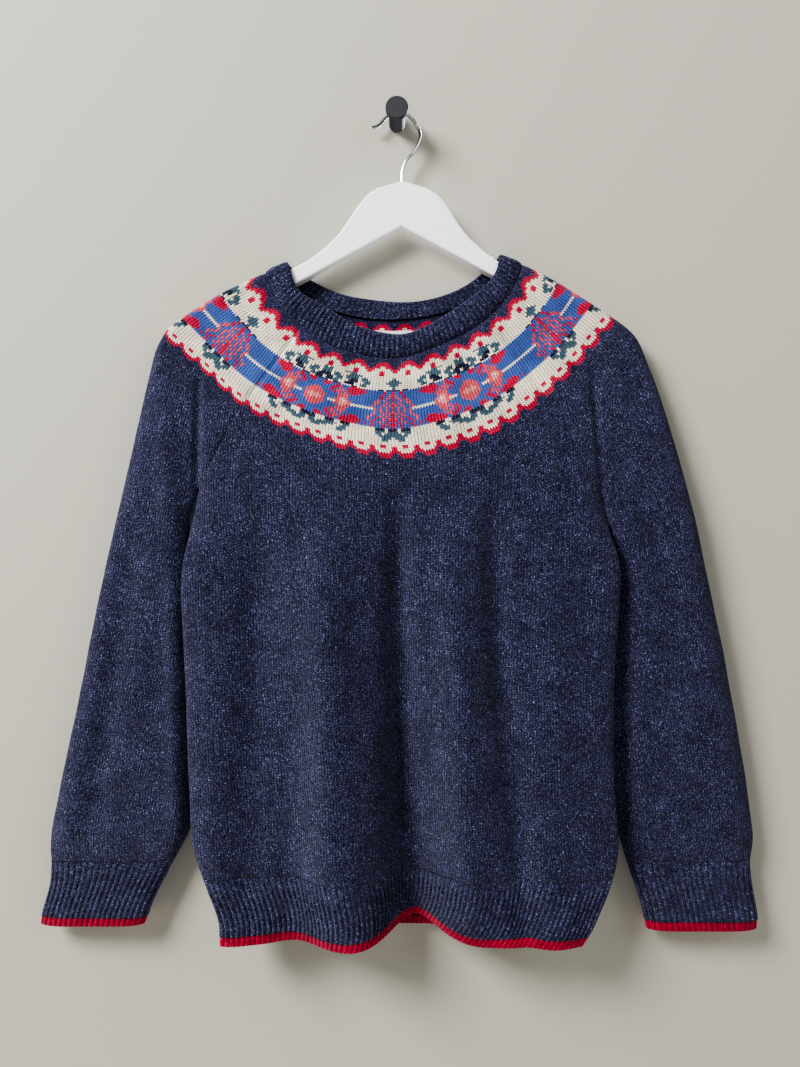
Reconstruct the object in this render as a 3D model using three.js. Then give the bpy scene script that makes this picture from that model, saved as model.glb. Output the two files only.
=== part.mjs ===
// Fair isle yoke jumper on a wooden hanger, hung by its wire hook from a round wall peg.
// Millimetres. +Z is up, +X is the viewer's right and the viewer stands at -Y.
// The origin is the centre of the peg's back face, where it meets the wall.
import * as THREE from "three";

// Cloth
const CLOTH = 2.4;
const NECKBAND_CLOTH = 4.0;
const TIP_CLOTH = 3.0;
const SEAM_GAP = 0.3;
const RIB_RISE = 0.8;

// Rib counts of one rib stitch and one hollow each
const NECK_RIBS_FRONT = 62;
const NECK_RIBS_BACK = 48;
const WELT_RIBS = 82;
const CUFF_RIBS = 42;

// Grid steps of the panels
const BODY_COLUMNS = 24;
const SLEEVE_COLUMNS = 9;
const RAGLAN_ROWS = 5;
const BODY_ROWS = 9;
const SLEEVE_ROWS = 11;
const YOKE_ROWS = 4;

// Heights of the seams below the yoke
const WELT_TOP = -775;
const WELT_BOTTOM = -829;
const HEM = -838;
const HEM_LIFT = { x: 18, rise: 13, width: 34 };
const CUFF_TOP = -768;
const CUFFS = {
  left: { bottom: -825, tip: -834 },
  right: { bottom: -829, tip: -839 },
};

// Roundness of the folded edges, and of the fold between sleeve and body
const SHOULDER_ROUND = 8;
const SLEEVE_ROUND = 28;
const SIDE_ROUND = 26;
const CREASE_ROUND = 26;
const CREASE_SOFTNESS = 8;
const CREASE_TOP = -262;
const CREASE_BLEND = 25;
const PARTING = 60;
const SIDE_SPREAD = 90;
const SHOULDER_END = { z: -230, blend: 150 };

// How folds grow: over their first stretch, and then faster and faster towards the hem
const FOLD_START = 90;
const FOLD_GROWTH = 1.7;

// How strongly grid columns crowd towards the folded edges
const CROWDING = 0.85;

// Outline of shoulder and outer sleeve edge, from the neckband's top to the cuff
const OUTLINE = {
  left: [
    { x: -113, z: -150 }, { x: -124, z: -153 }, { x: -136, z: -161 }, { x: -176, z: -180 },
    { x: -200, z: -194 }, { x: -235, z: -218 }, { x: -242, z: -228 }, { x: -250, z: -244 },
    { x: -258, z: -278 }, { x: -280, z: -376 }, { x: -308, z: -500 }, { x: -333, z: -624 },
    { x: -356, z: -732 }, { x: -358, z: -755 }, { x: -356, z: -786 }, { x: -366, z: -825 },
    { x: -368, z: -840 },
  ],
  right: [
    { x: 106, z: -142.5 }, { x: 118, z: -145.5 }, { x: 129, z: -152 }, { x: 158, z: -167 },
    { x: 180, z: -180 }, { x: 227, z: -211 }, { x: 246, z: -227 }, { x: 260, z: -257 },
    { x: 268, z: -278 }, { x: 297, z: -376 }, { x: 325, z: -500 }, { x: 350, z: -624 },
    { x: 367, z: -732 }, { x: 368, z: -748 }, { x: 364, z: -780 }, { x: 371, z: -825 },
    { x: 371, z: -842 },
  ],
};

// Fold lines between sleeve and body, above the underarm
const CREASE = {
  left: [{ x: -204, z: -275 }, { x: -202, z: -336 }, { x: -202.5, z: -387 }],
  right: [{ x: 197, z: -275 }, { x: 203, z: -326 }, { x: 209.5, z: -397 }],
};

// Side edge of the body, from the underarm to the hem
const BODY_SIDE = {
  left: [
    { x: -202.5, z: -387 }, { x: -205, z: -403 }, { x: -211, z: -437 }, { x: -216, z: -468 },
    { x: -217, z: -498 }, { x: -211, z: -639 }, { x: -206, z: -727 }, { x: -202, z: -750 },
    { x: -192, z: -775 }, { x: -176, z: -815 }, { x: -174, z: -840 },
  ],
  right: [
    { x: 209.5, z: -397 }, { x: 211.5, z: -410 }, { x: 217, z: -433 }, { x: 224, z: -460 },
    { x: 225, z: -488 }, { x: 219, z: -600 }, { x: 219, z: -690 }, { x: 221, z: -745 },
    { x: 215, z: -775 }, { x: 195, z: -820 }, { x: 181, z: -840 },
  ],
};

// Inner edge of each sleeve, from the underarm to the cuff: it tucks in behind the body's side
const SLEEVE_INNER = {
  left: [
    { x: -202.5, z: -387 }, { x: -206.5, z: -403 }, { x: -211, z: -420 }, { x: -209, z: -455 },
    { x: -206, z: -500 }, { x: -209, z: -640 }, { x: -210, z: -700 }, { x: -213, z: -735 },
    { x: -227, z: -763 }, { x: -251.5, z: -809 }, { x: -262, z: -840 },
  ],
  right: [
    { x: 209.5, z: -397 }, { x: 213, z: -410 }, { x: 217.5, z: -427 }, { x: 217, z: -455 },
    { x: 214, z: -500 }, { x: 214, z: -580 }, { x: 216, z: -660 }, { x: 222, z: -715 },
    { x: 234, z: -758 }, { x: 251.5, z: -809 }, { x: 258, z: -842 },
  ],
};

// Yoke edge, from shoulder to shoulder; the raglan seams start at the points marked raglan
const YOKE_EDGE = {
  front: [
    { x: -242, z: -228 }, { x: -200, z: -264 }, { x: -159, z: -301, raglan: true },
    { x: -110, z: -327 }, { x: -55, z: -346 }, { x: 3, z: -356 }, { x: 60, z: -345 },
    { x: 115, z: -321 }, { x: 169, z: -277, raglan: true }, { x: 203, z: -240 },
    { x: 227, z: -211 },
  ],
  back: [
    { x: -242, z: -228 }, { x: -203, z: -254 }, { x: -165, z: -273, raglan: true },
    { x: -110, z: -293 }, { x: -55, z: -305 }, { x: 3, z: -309 }, { x: 60, z: -304 },
    { x: 112, z: -290 }, { x: 165, z: -264, raglan: true }, { x: 200, z: -238 },
    { x: 227, z: -211 },
  ],
};

// Seam between neckband and yoke, and the neckband's folded top edge
const NECK_SEAM = {
  front: [
    { x: -136, z: -161 }, { x: -126, z: -185 }, { x: -107, z: -210 }, { x: -63, z: -240 },
    { x: 1, z: -251 }, { x: 63, z: -229 }, { x: 97, z: -206 }, { x: 118, z: -180 },
    { x: 129, z: -152 },
  ],
  back: [
    { x: -136, z: -161 }, { x: -108, z: -181 }, { x: -78, z: -194 }, { x: -42, z: -204 },
    { x: -4, z: -207 }, { x: 34, z: -203 }, { x: 68, z: -193 }, { x: 100, z: -175 },
    { x: 129, z: -152 },
  ],
};
const NECK_TOP = {
  front: [
    { x: -113, z: -150 }, { x: -109, z: -163 }, { x: -99, z: -185 }, { x: -68, z: -204 },
    { x: -42, z: -221 }, { x: 1, z: -231 }, { x: 30, z: -222 }, { x: 60, z: -203 },
    { x: 86, z: -183 }, { x: 101, z: -165 }, { x: 106, z: -142.5 },
  ],
  back: [
    { x: -113, z: -150 }, { x: -86, z: -168 }, { x: -52, z: -182 }, { x: 1, z: -189 },
    { x: 35, z: -186 }, { x: 65, z: -175.5 }, { x: 87, z: -161 }, { x: 106, z: -142.5 },
  ],
};

// Depth of the cloth's outer face at each height: y of its front, its back and its folded edges
const BODY_DEPTH = [
  { z: -150, front: -26, back: -1.5, backAtSide: -1.5, side: -14 },
  { z: -250, front: -27.5, back: -1.8, backAtSide: -2, side: -18 },
  { z: -330, front: -35, back: -3, backAtSide: -7, side: -24 },
  { z: -390, front: -41, back: -4, backAtSide: -17, side: -30 },
  { z: -450, front: -46, back: -5, backAtSide: -27, side: -38 },
  { z: -600, front: -48, back: -6, backAtSide: -28, side: -38 },
  { z: -728, front: -50, back: -7, backAtSide: -27, side: -44 },
  { z: -775, front: -52, back: -8, backAtSide: -24, side: -50 },
  { z: -840, front: -54, back: -8, backAtSide: -20, side: -58 },
];
const SLEEVE_DEPTH = [
  { z: -150, front: -26, back: -1.5, inner: -14, outer: -14 },
  { z: -250, front: -27.5, back: -1.8, inner: -18, outer: -15 },
  { z: -330, front: -33, back: -2.5, inner: -24, outer: -17 },
  { z: -390, front: -35, back: -3, inner: -26, outer: -18 },
  { z: -450, front: -34, back: -3, inner: -18, outer: -18 },
  { z: -600, front: -32, back: -4, inner: -18, outer: -18 },
  { z: -735, front: -30, back: -6, inner: -18, outer: -18 },
  { z: -768, front: -27, back: -8, inner: -18, outer: -18 },
  { z: -842, front: -27, back: -9, inner: -18, outer: -18 },
];
const CREASE_DEPTH = [{ z: -150, y: -14 }, { z: -390, y: -28 }];

// Folds of the front, from where each starts down to the hem; rise is towards the viewer
const FRONT_FOLDS = [
  { name: "left ridge", xTop: -75, xHem: -42, zTop: -330, width: 34, riseTop: 2, riseHem: 19 },
  { name: "centre valley", xTop: 2, xHem: 19, zTop: -400, width: 27, riseTop: -2, riseHem: -37 },
  { name: "right ridge", xTop: 66, xHem: 96, zTop: -380, width: 30, riseTop: 4, riseHem: 5 },
  { name: "far right ridge", xTop: 160, xHem: 150, zTop: -560, width: 42, riseTop: 1, riseHem: 13 },
  { name: "left valley", xTop: -128, xHem: -100, zTop: -420, width: 26, riseTop: -3, riseHem: -10 },
  { name: "left side ridge", xTop: -178, xHem: -160, zTop: -520, width: 30, riseTop: 1, riseHem: 9 },
];
const BACK_FOLDS = [
  { name: "back left hollow", xTop: -70, xHem: -60, zTop: -420, width: 36, riseTop: 2, riseHem: 5 },
  { name: "back right hollow", xTop: 60, xHem: 80, zTop: -420, width: 36, riseTop: 2, riseHem: 5 },
];

// Hanger, hook, peg and label
const HANGER_X = 5.3;
const HANGER_BACK = -6.5;
const HANGER_THICK = 14.5;
const HANGER_EDGE = 2;
const HANGER_HALF_WIDTH = 190;
const HANGER_APEX = -115;
const HANGER_UNDERSIDE_SLOPE = 0.54;
const HANGER_TOP = [
  { out: 0, z: -68 }, { out: 28.5, z: -76.5 }, { out: 43.5, z: -91 }, { out: 55, z: -108 },
  { out: 66, z: -123 }, { out: 79, z: -136 }, { out: 95, z: -148.5 },
];
const HANGER_ARM_SLOPE = 0.53;
const HANGER_END_ROUND = 8;
const HANGER_TOP_STEPS = 14;
const HANGER_END_STEPS = 3;
const WIRE = 3.4;
const HOOK_ROUTE = [
  { x: 5.3, y: -13.7, z: -67.6 }, { x: 5.4, y: -13.2, z: -56 }, { x: 9.5, y: -12.4, z: -43.5 },
  { x: 17.5, y: -11.6, z: -34.5 }, { x: 24.4, y: -10.2, z: -18 }, { x: 20.6, y: -9, z: -4.5 },
  { x: 12.6, y: -8.3, z: 4.8 }, { x: 7.6, y: -8.1, z: 8.6 }, { x: 1.2, y: -8, z: 10.4 },
  { x: -5.2, y: -8, z: 9.2 }, { x: -10.2, y: -8.2, z: 4.8 }, { x: -15.2, y: -8.6, z: -0.5 },
  { x: -20, y: -9, z: -6 }, { x: -25.6, y: -9.2, z: -7.6 },
];
const HOOK_STEPS = 44;
const WIRE_SEGMENTS = 4;
const PEG_SEGMENTS = 24;
const PEG = { reach: 36, barrel: 8.3, head: 11.6, headThick: 5, edge: 0.8 };
const LABEL = { x: 3, width: 53, top: -219, tall: 30, thick: 0.8, back: -4.7 };

const clamp = (value) => Math.min(Math.max(value, 0), 1);
const mix = (a, b, t) => a + (b - a) * t;
const ease = (value) => clamp(value) ** 2 * (3 - 2 * clamp(value));

// Value of a column in a table of falling z, by a smooth curve through its rows
function lookUp(table, z, column) {
  if (z >= table[0].z) return table[0][column];
  const last = table.length - 1;
  if (z <= table[last].z) return table[last][column];
  let i = 0;
  while (z < table[i + 1].z) i += 1;
  const a = table[i];
  const b = table[i + 1];
  const before = table[Math.max(i - 1, 0)];
  const after = table[Math.min(i + 2, last)];
  const span = b.z - a.z;
  const t = (z - a.z) / span;
  const slopeA = ((b[column] - before[column]) / (b.z - before.z)) * span;
  const slopeB = ((after[column] - a[column]) / (after.z - a.z)) * span;
  const t2 = t * t;
  const t3 = t2 * t;
  return (2 * t3 - 3 * t2 + 1) * a[column] + (t3 - 2 * t2 + t) * slopeA
    + (3 * t2 - 2 * t3) * b[column] + (t3 - t2) * slopeB;
}

const edgeX = (table, z) => lookUp(table, z, "x");

// Close points along each outline, for the distance of a point from the folded edge
const OUTLINE_STEP = 3;
const outlinePoints = {};
for (const side of ["left", "right"]) {
  const table = OUTLINE[side];
  outlinePoints[side] = [];
  for (let z = table[0].z; z > table[table.length - 1].z; z -= OUTLINE_STEP) {
    outlinePoints[side].push(new THREE.Vector2(edgeX(table, z), z));
  }
}

function outlineDistance(side, x, z) {
  const points = outlinePoints[side];
  let nearest = Infinity;
  for (let i = 0; i < points.length - 1; i += 1) {
    const alongX = points[i + 1].x - points[i].x;
    const alongZ = points[i + 1].y - points[i].y;
    const share = clamp(((x - points[i].x) * alongX + (z - points[i].y) * alongZ)
      / (alongX ** 2 + alongZ ** 2));
    const off = Math.hypot(x - points[i].x - share * alongX, z - points[i].y - share * alongZ);
    nearest = Math.min(nearest, off);
  }
  return nearest;
}

// Share of the full depth that a folded edge has reached at this distance from it
const EDGE_TOLERANCE = 0.4;
function roundness(distance, radius) {
  const share = clamp((Math.abs(distance) - EDGE_TOLERANCE) / radius);
  return Math.sqrt(1 - (1 - share) ** 2);
}

function foldRise(folds, x, z) {
  let rise = 0;
  for (const fold of folds) {
    const down = clamp((fold.zTop - z) / (fold.zTop - HEM));
    const centre = mix(fold.xTop, fold.xHem, down);
    const start = ease((fold.zTop - z) / FOLD_START);
    const height = mix(fold.riseTop, fold.riseHem, down ** FOLD_GROWTH) * start;
    rise += height * Math.exp(-(((x - centre) / fold.width) ** 2));
  }
  return rise;
}

// Depth of the body's or a sleeve's full face, away from its folded edges
function bodyFace(face, x, z, inward) {
  if (face === "front") {
    const front = lookUp(BODY_DEPTH, z, "front");
    return front - foldRise(FRONT_FOLDS, x, z);
  }
  const spread = ease(inward / SIDE_SPREAD);
  const back = mix(lookUp(BODY_DEPTH, z, "backAtSide"), lookUp(BODY_DEPTH, z, "back"), spread);
  return back - foldRise(BACK_FOLDS, x, z) * spread;
}
const sleeveFace = (face, z) => lookUp(SLEEVE_DEPTH, z, face);

// Depth of the cloth's outer face at a place in the front view, on the body or on a sleeve
function depth(face, part, x, z) {
  const side = x < HANGER_X ? "left" : "right";
  const toBody = side === "left" ? 1 : -1;
  const underarm = BODY_SIDE[side][0];
  const below = Math.max(underarm.z - z, 0);
  const parted = ease(below / PARTING);
  let edge = edgeX(CREASE[side], z);
  if (below > 0) edge = edgeX(part === "body" ? BODY_SIDE[side] : SLEEVE_INNER[side], z);
  const inward = (x - edge) * toBody;
  const nearBody = ease((inward + CREASE_BLEND) / (2 * CREASE_BLEND));
  const bodyShare = mix(nearBody, part === "body" ? 1 : 0, parted);
  let y = mix(sleeveFace(face, z), bodyFace(face, x, z, Math.abs(inward)), bodyShare);
  if (part !== "body" || below === 0) {
    const radius = mix(SHOULDER_ROUND, SLEEVE_ROUND, clamp((SHOULDER_END.z - z) / SHOULDER_END.blend));
    y = mix(lookUp(SLEEVE_DEPTH, z, "outer"), y, roundness(outlineDistance(side, x, z), radius));
  }
  const rise = clamp((z - underarm.z) / (CREASE_TOP - underarm.z));
  const arch = below > 0 ? 0 : Math.sqrt(1 - (1 - rise) ** 2);
  const fromFold = Math.hypot(inward, CREASE_SOFTNESS * arch);
  const open = 1 - (1 - arch) * (1 - roundness(fromFold, below > 0 ? SIDE_ROUND : CREASE_ROUND));
  const crease = lookUp(CREASE_DEPTH, Math.max(z, underarm.z), "y");
  const apart = part === "body" ? lookUp(BODY_DEPTH, z, "side") : lookUp(SLEEVE_DEPTH, z, "inner");
  return mix(mix(crease, apart, parted), y, open);
}

const vector = (point) => new THREE.Vector2(point.x, point.z);
const spline = (table) => new THREE.SplineCurve(table.map(vector));

// Steps that crowd towards both ends, where the folded edges are
function crowded(count) {
  const steps = [];
  for (let i = 0; i <= count; i += 1) {
    const cosine = (1 - Math.cos((Math.PI * i) / count)) / 2;
    steps.push(mix(i / count, cosine, CROWDING));
  }
  return steps;
}
function even(count) {
  return Array.from({ length: count + 1 }, (_, i) => i / count);
}

// Points of a spline between two of its table's rows
function stretch(table, from, to, steps) {
  const curve = spline(table);
  const last = table.length - 1;
  return steps.map((step) => curve.getPoint(mix(from, to, step) / last));
}

function line(a, b, steps) {
  return steps.map((step) => new THREE.Vector2(mix(a.x, b.x, step), mix(a.y, b.y, step)));
}
function alongEdge(table, fromZ, toZ, steps) {
  return steps.map((step) => {
    const z = mix(fromZ, toZ, step);
    return new THREE.Vector2(edgeX(table, z), z);
  });
}

// Grid of front-view points between four border curves; row 0 is the top
function coons(top, bottom, left, right, across, down) {
  const end = top.length - 1;
  return down.map((v, r) => across.map((u, c) => {
    const point = new THREE.Vector2();
    point.addScaledVector(top[c], 1 - v).addScaledVector(bottom[c], v);
    point.addScaledVector(left[r], 1 - u).addScaledVector(right[r], u);
    point.addScaledVector(top[0], -(1 - u) * (1 - v)).addScaledVector(top[end], -u * (1 - v));
    point.addScaledVector(bottom[0], -(1 - u) * v).addScaledVector(bottom[end], -u * v);
    return point;
  }));
}
function raise(grid, face, part) {
  const lifted = (p) => new THREE.Vector3(p.x, depth(face, part, p.x, p.y), p.y);
  return grid.map((row) => row.map(lifted));
}
const reversed = (grid) => grid.map((row) => [...row].reverse());
const joined = (first, second) => first.map((row, r) => [...row, ...second[r].slice(1)]);

const bodyAcross = crowded(BODY_COLUMNS);
const sleeveAcross = crowded(SLEEVE_COLUMNS);
const bodyDown = even(RAGLAN_ROWS + BODY_ROWS);
const sleeveDown = even(RAGLAN_ROWS + SLEEVE_ROWS);
const raglanRow = (face, side) => {
  const rows = YOKE_EDGE[face].map((row, i) => (row.raglan ? i : -1)).filter((i) => i > 0);
  return side === "left" ? rows[0] : rows[1];
};
const underarmOf = (side) => vector(BODY_SIDE[side][0]);

// Raglan seam, then the side edge below the underarm
function bodyBorder(face, side) {
  const start = vector(YOKE_EDGE[face][raglanRow(face, side)]);
  const raglan = line(start, underarmOf(side), even(RAGLAN_ROWS));
  const edge = alongEdge(BODY_SIDE[side], BODY_SIDE[side][0].z, WELT_TOP, even(BODY_ROWS));
  return [...raglan, ...edge.slice(1)];
}
function sleeveBorders(face, side) {
  const start = vector(YOKE_EDGE[face][raglanRow(face, side)]);
  const raglan = line(start, underarmOf(side), even(RAGLAN_ROWS));
  const underarm = BODY_SIDE[side][0].z;
  const inner = alongEdge(SLEEVE_INNER[side], underarm, CUFF_TOP, even(SLEEVE_ROWS));
  const shoulder = side === "left" ? YOKE_EDGE.front[0] : YOKE_EDGE.front[YOKE_EDGE.front.length - 1];
  const cap = alongEdge(OUTLINE[side], shoulder.z, underarm, even(RAGLAN_ROWS));
  const outer = alongEdge(OUTLINE[side], underarm, CUFF_TOP, even(SLEEVE_ROWS));
  return { inner: [...raglan, ...inner.slice(1)], outer: [...cap, ...outer.slice(1)] };
}

// Front or back of the body, left to right, from the yoke to the welt
function bodyPanel(face) {
  const from = raglanRow(face, "left");
  const to = raglanRow(face, "right");
  const top = stretch(YOKE_EDGE[face], from, to, bodyAcross);
  const left = bodyBorder(face, "left");
  const right = bodyBorder(face, "right");
  const bottom = line(left[left.length - 1], right[right.length - 1], bodyAcross);
  return raise(coons(top, bottom, left, right, bodyAcross, bodyDown), face, "body");
}

// Front or back half of a sleeve, left to right, from the yoke to the cuff
function sleeveHalf(face, side) {
  const { inner, outer } = sleeveBorders(face, side);
  const seam = raglanRow(face, side);
  const shoulder = side === "left" ? 0 : YOKE_EDGE[face].length - 1;
  const from = Math.min(seam, shoulder);
  const to = Math.max(seam, shoulder);
  const top = stretch(YOKE_EDGE[face], from, to, sleeveAcross);
  const left = side === "left" ? outer : inner;
  const right = side === "left" ? inner : outer;
  const bottom = line(left[left.length - 1], right[right.length - 1], sleeveAcross);
  return raise(coons(top, bottom, left, right, sleeveAcross, sleeveDown), face, "sleeve");
}

// Whole sleeve as one sheet: open along the raglans, a tube below the underarm
function sleeveSheet(side) {
  const front = sleeveHalf("front", side);
  const back = reversed(sleeveHalf("back", side));
  return side === "left" ? joined(back, front) : joined(front, back);
}

// Front or back half of the yoke, left to right, from the neck seam to the yoke edge
function yokeHalf(face, bottom) {
  const lengths = [0];
  for (let i = 1; i < bottom.length; i += 1) {
    lengths.push(lengths[i - 1] + bottom[i].distanceTo(bottom[i - 1]));
  }
  const across = lengths.map((length) => length / lengths[lengths.length - 1]);
  const curve = spline(NECK_SEAM[face]);
  const top = across.map((share) => curve.getPointAt(share));
  const rows = even(YOKE_ROWS);
  const left = alongEdge(OUTLINE.left, top[0].y, bottom[0].y, rows);
  const right = alongEdge(OUTLINE.right, top[top.length - 1].y, bottom[bottom.length - 1].y, rows);
  return raise(coons(top, bottom, left, right, across, rows), face, "body");
}
function yokeBottom(face) {
  const first = raglanRow(face, "left");
  const second = raglanRow(face, "right");
  const last = YOKE_EDGE[face].length - 1;
  return [
    ...stretch(YOKE_EDGE[face], 0, first, sleeveAcross),
    ...stretch(YOKE_EDGE[face], first, second, bodyAcross).slice(1),
    ...stretch(YOKE_EDGE[face], second, last, sleeveAcross).slice(1),
  ];
}

// Lower rows of the body below the welt seam, and of a sleeve below the cuff seam
function hemRow(face, z) {
  const left = edgeX(BODY_SIDE.left, z);
  const right = edgeX(BODY_SIDE.right, z);
  return bodyAcross.map((share) => {
    const x = mix(left, right, share);
    const rise = face === "front" ? HEM_LIFT.rise : 0;
    const lift = rise * Math.exp(-(((x - HEM_LIFT.x) / HEM_LIFT.width) ** 2));
    const sides = roundness(Math.min(x - left, right - x), SIDE_ROUND);
    return new THREE.Vector3(x, depth(face, "body", x, z), z + lift * sides);
  });
}
function cuffRow(side, z) {
  const inner = new THREE.Vector2(edgeX(SLEEVE_INNER[side], z), z);
  const outer = new THREE.Vector2(edgeX(OUTLINE[side], z), z);
  const ends = side === "left" ? [outer, inner] : [inner, outer];
  const flat = [line(ends[0], ends[1], sleeveAcross)];
  const front = raise(flat, "front", "sleeve");
  const back = reversed(raise(flat, "back", "sleeve"));
  return (side === "left" ? joined(back, front) : joined(front, back))[0];
}

// Outer sheets of every cloth piece. Rows run down, columns run left to right on the front.
const yokeFront = yokeHalf("front", yokeBottom("front"));
const yokeBack = yokeHalf("back", yokeBottom("back"));
const frontSheet = bodyPanel("front");
const backSheet = reversed(bodyPanel("back"));
const neckTop = (face, count) => {
  const curve = spline(NECK_TOP[face]);
  return raise([even(count).map((share) => curve.getPointAt(share))], face, "body")[0];
};
const lastRow = (sheet) => sheet[sheet.length - 1];
const sheets = {
  yoke: joined(yokeFront, reversed(yokeBack)),
  front: frontSheet,
  back: backSheet,
  sleeve_left: sleeveSheet("left"),
  sleeve_right: sleeveSheet("right"),
};
const neckTopFront = neckTop("front", yokeFront[0].length - 1);
const neckTopBack = neckTop("back", yokeBack[0].length - 1).reverse();
sheets.neckband = [[...neckTopFront, ...neckTopBack.slice(1)], sheets.yoke[0]];
sheets.welt_front = [lastRow(frontSheet), hemRow("front", WELT_BOTTOM)];
sheets.welt_back = [lastRow(backSheet), hemRow("back", WELT_BOTTOM).reverse()];
sheets.hem_tip_front = [lastRow(sheets.welt_front), hemRow("front", HEM)];
sheets.hem_tip_back = [lastRow(sheets.welt_back), hemRow("back", HEM).reverse()];
for (const side of ["left", "right"]) {
  sheets[`cuff_${side}`] = [lastRow(sheets[`sleeve_${side}`]), cuffRow(side, CUFFS[side].bottom)];
  sheets[`cuff_tip_${side}`] = [lastRow(sheets[`cuff_${side}`]), cuffRow(side, CUFFS[side].tip)];
}

// Normals of all sheets together, so that pieces that share a seam turn alike at it
const KEYS_PER_MM = 4;
const KEY_OFFSET = 0.31;
const placeKey = (p) => p.toArray().map((value) => Math.round(value * KEYS_PER_MM + KEY_OFFSET)).join();
const normalAt = new Map();
function addNormals(sheet) {
  for (let r = 0; r < sheet.length - 1; r += 1) {
    for (let c = 0; c < sheet[r].length - 1; c += 1) {
      const corners = [sheet[r][c], sheet[r + 1][c], sheet[r + 1][c + 1], sheet[r][c + 1]];
      const down = corners[2].clone().sub(corners[0]);
      const across = corners[3].clone().sub(corners[1]);
      const normal = down.cross(across).normalize();
      for (const corner of corners) {
        const key = placeKey(corner);
        if (!normalAt.has(key)) normalAt.set(key, new THREE.Vector3());
        normalAt.get(key).add(normal);
      }
    }
  }
}
Object.values(sheets).forEach(addNormals);

// At the underarm, body and sleeve turn away from each other, so each has a normal of its own
const UNDERARM_DIP = 0.4;
const underarmSide = new Map();
for (const side of ["left", "right"]) {
  const p = underarmOf(side);
  underarmSide.set(placeKey(new THREE.Vector3(p.x, depth("front", "body", p.x, p.y), p.y)), side);
}
function normalsOf(row, part) {
  return row.map((p) => {
    const side = underarmSide.get(placeKey(p));
    if (!side) return normalAt.get(placeKey(p)).clone().normalize();
    const outward = (side === "left") === (part === "body") ? -1 : 1;
    return new THREE.Vector3(outward, 0, -UNDERARM_DIP).normalize();
  });
}

// Evenly spaced points along a row, with normals that keep them on the row's own inner face
function resample(row, normals, count) {
  const lengths = [0];
  for (let i = 1; i < row.length; i += 1) {
    lengths.push(lengths[i - 1] + row[i].distanceTo(row[i - 1]));
  }
  const total = lengths[lengths.length - 1];
  const points = [];
  const turned = [];
  let i = 0;
  for (let n = 0; n <= count; n += 1) {
    const at = (total * n) / count;
    while (i < row.length - 2 && lengths[i + 1] < at) i += 1;
    const share = clamp((at - lengths[i]) / (lengths[i + 1] - lengths[i]));
    points.push(row[i].clone().lerp(row[i + 1], share));
    turned.push(normals[i].clone().lerp(normals[i + 1], share));
  }
  return { points, normals: turned };
}

// Outer and inner faces of a wall: plain, or ribbed in the outer points only
function plainWall(sheet, thick, part = "body") {
  const outer = sheet.map((row) => row.map((p) => p.clone()));
  const inner = sheet.map((row) => {
    const normals = normalsOf(row, part);
    return row.map((p, c) => p.clone().addScaledVector(normals[c], -thick));
  });
  return { outer, inner };
}
function ribbedWall(sheet, thick, parts) {
  const outer = [];
  const inner = [];
  for (const row of sheet) {
    const normals = normalsOf(row, "body");
    let points = [];
    let turned = [];
    for (const part of parts) {
      const piece = row.slice(part.from, part.to + 1);
      const spaced = resample(piece, normals.slice(part.from, part.to + 1), part.ribs * 2);
      const skip = points.length ? 1 : 0;
      points = [...points, ...spaced.points.slice(skip)];
      turned = [...turned, ...spaced.normals.slice(skip)];
    }
    inner.push(points.map((p, c) => p.clone().addScaledVector(turned[c], -thick)));
    outer.push(points.map((p, c) => p.clone().addScaledVector(turned[c], c % 2 ? RIB_RISE : 0)));
  }
  return { outer, inner };
}

// Each border that is sewn to a neighbour is drawn in: by half the seam gap, or more under ribs
function pullIn(point, towards, inset) {
  const way = towards.clone().sub(point);
  return point.clone().addScaledVector(way.normalize(), inset);
}
function trimmed(grid, borders, openRows, inset) {
  const rows = grid.length;
  const result = grid.map((row) => row.map((p) => p.clone()));
  const last = grid[0].length - 1;
  for (let c = 0; c <= last; c += 1) {
    if (borders.includes("top")) result[0][c] = pullIn(grid[0][c], grid[1][c], inset);
    if (borders.includes("bottom")) {
      result[rows - 1][c] = pullIn(grid[rows - 1][c], grid[rows - 2][c], inset);
    }
  }
  if (!borders.includes("sides")) return result;
  for (let r = 0; r < Math.min(openRows, rows); r += 1) {
    result[r][0] = pullIn(result[r][0], result[r][1], inset);
    result[r][last] = pullIn(result[r][last], result[r][last - 1], inset);
  }
  if (openRows < rows) {
    const middle = result[openRows][1].clone().lerp(result[openRows][last - 1], 0.5);
    result[openRows][0] = pullIn(result[openRows][0], middle, inset);
    result[openRows][last] = result[openRows][0].clone();
  }
  return result;
}

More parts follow.
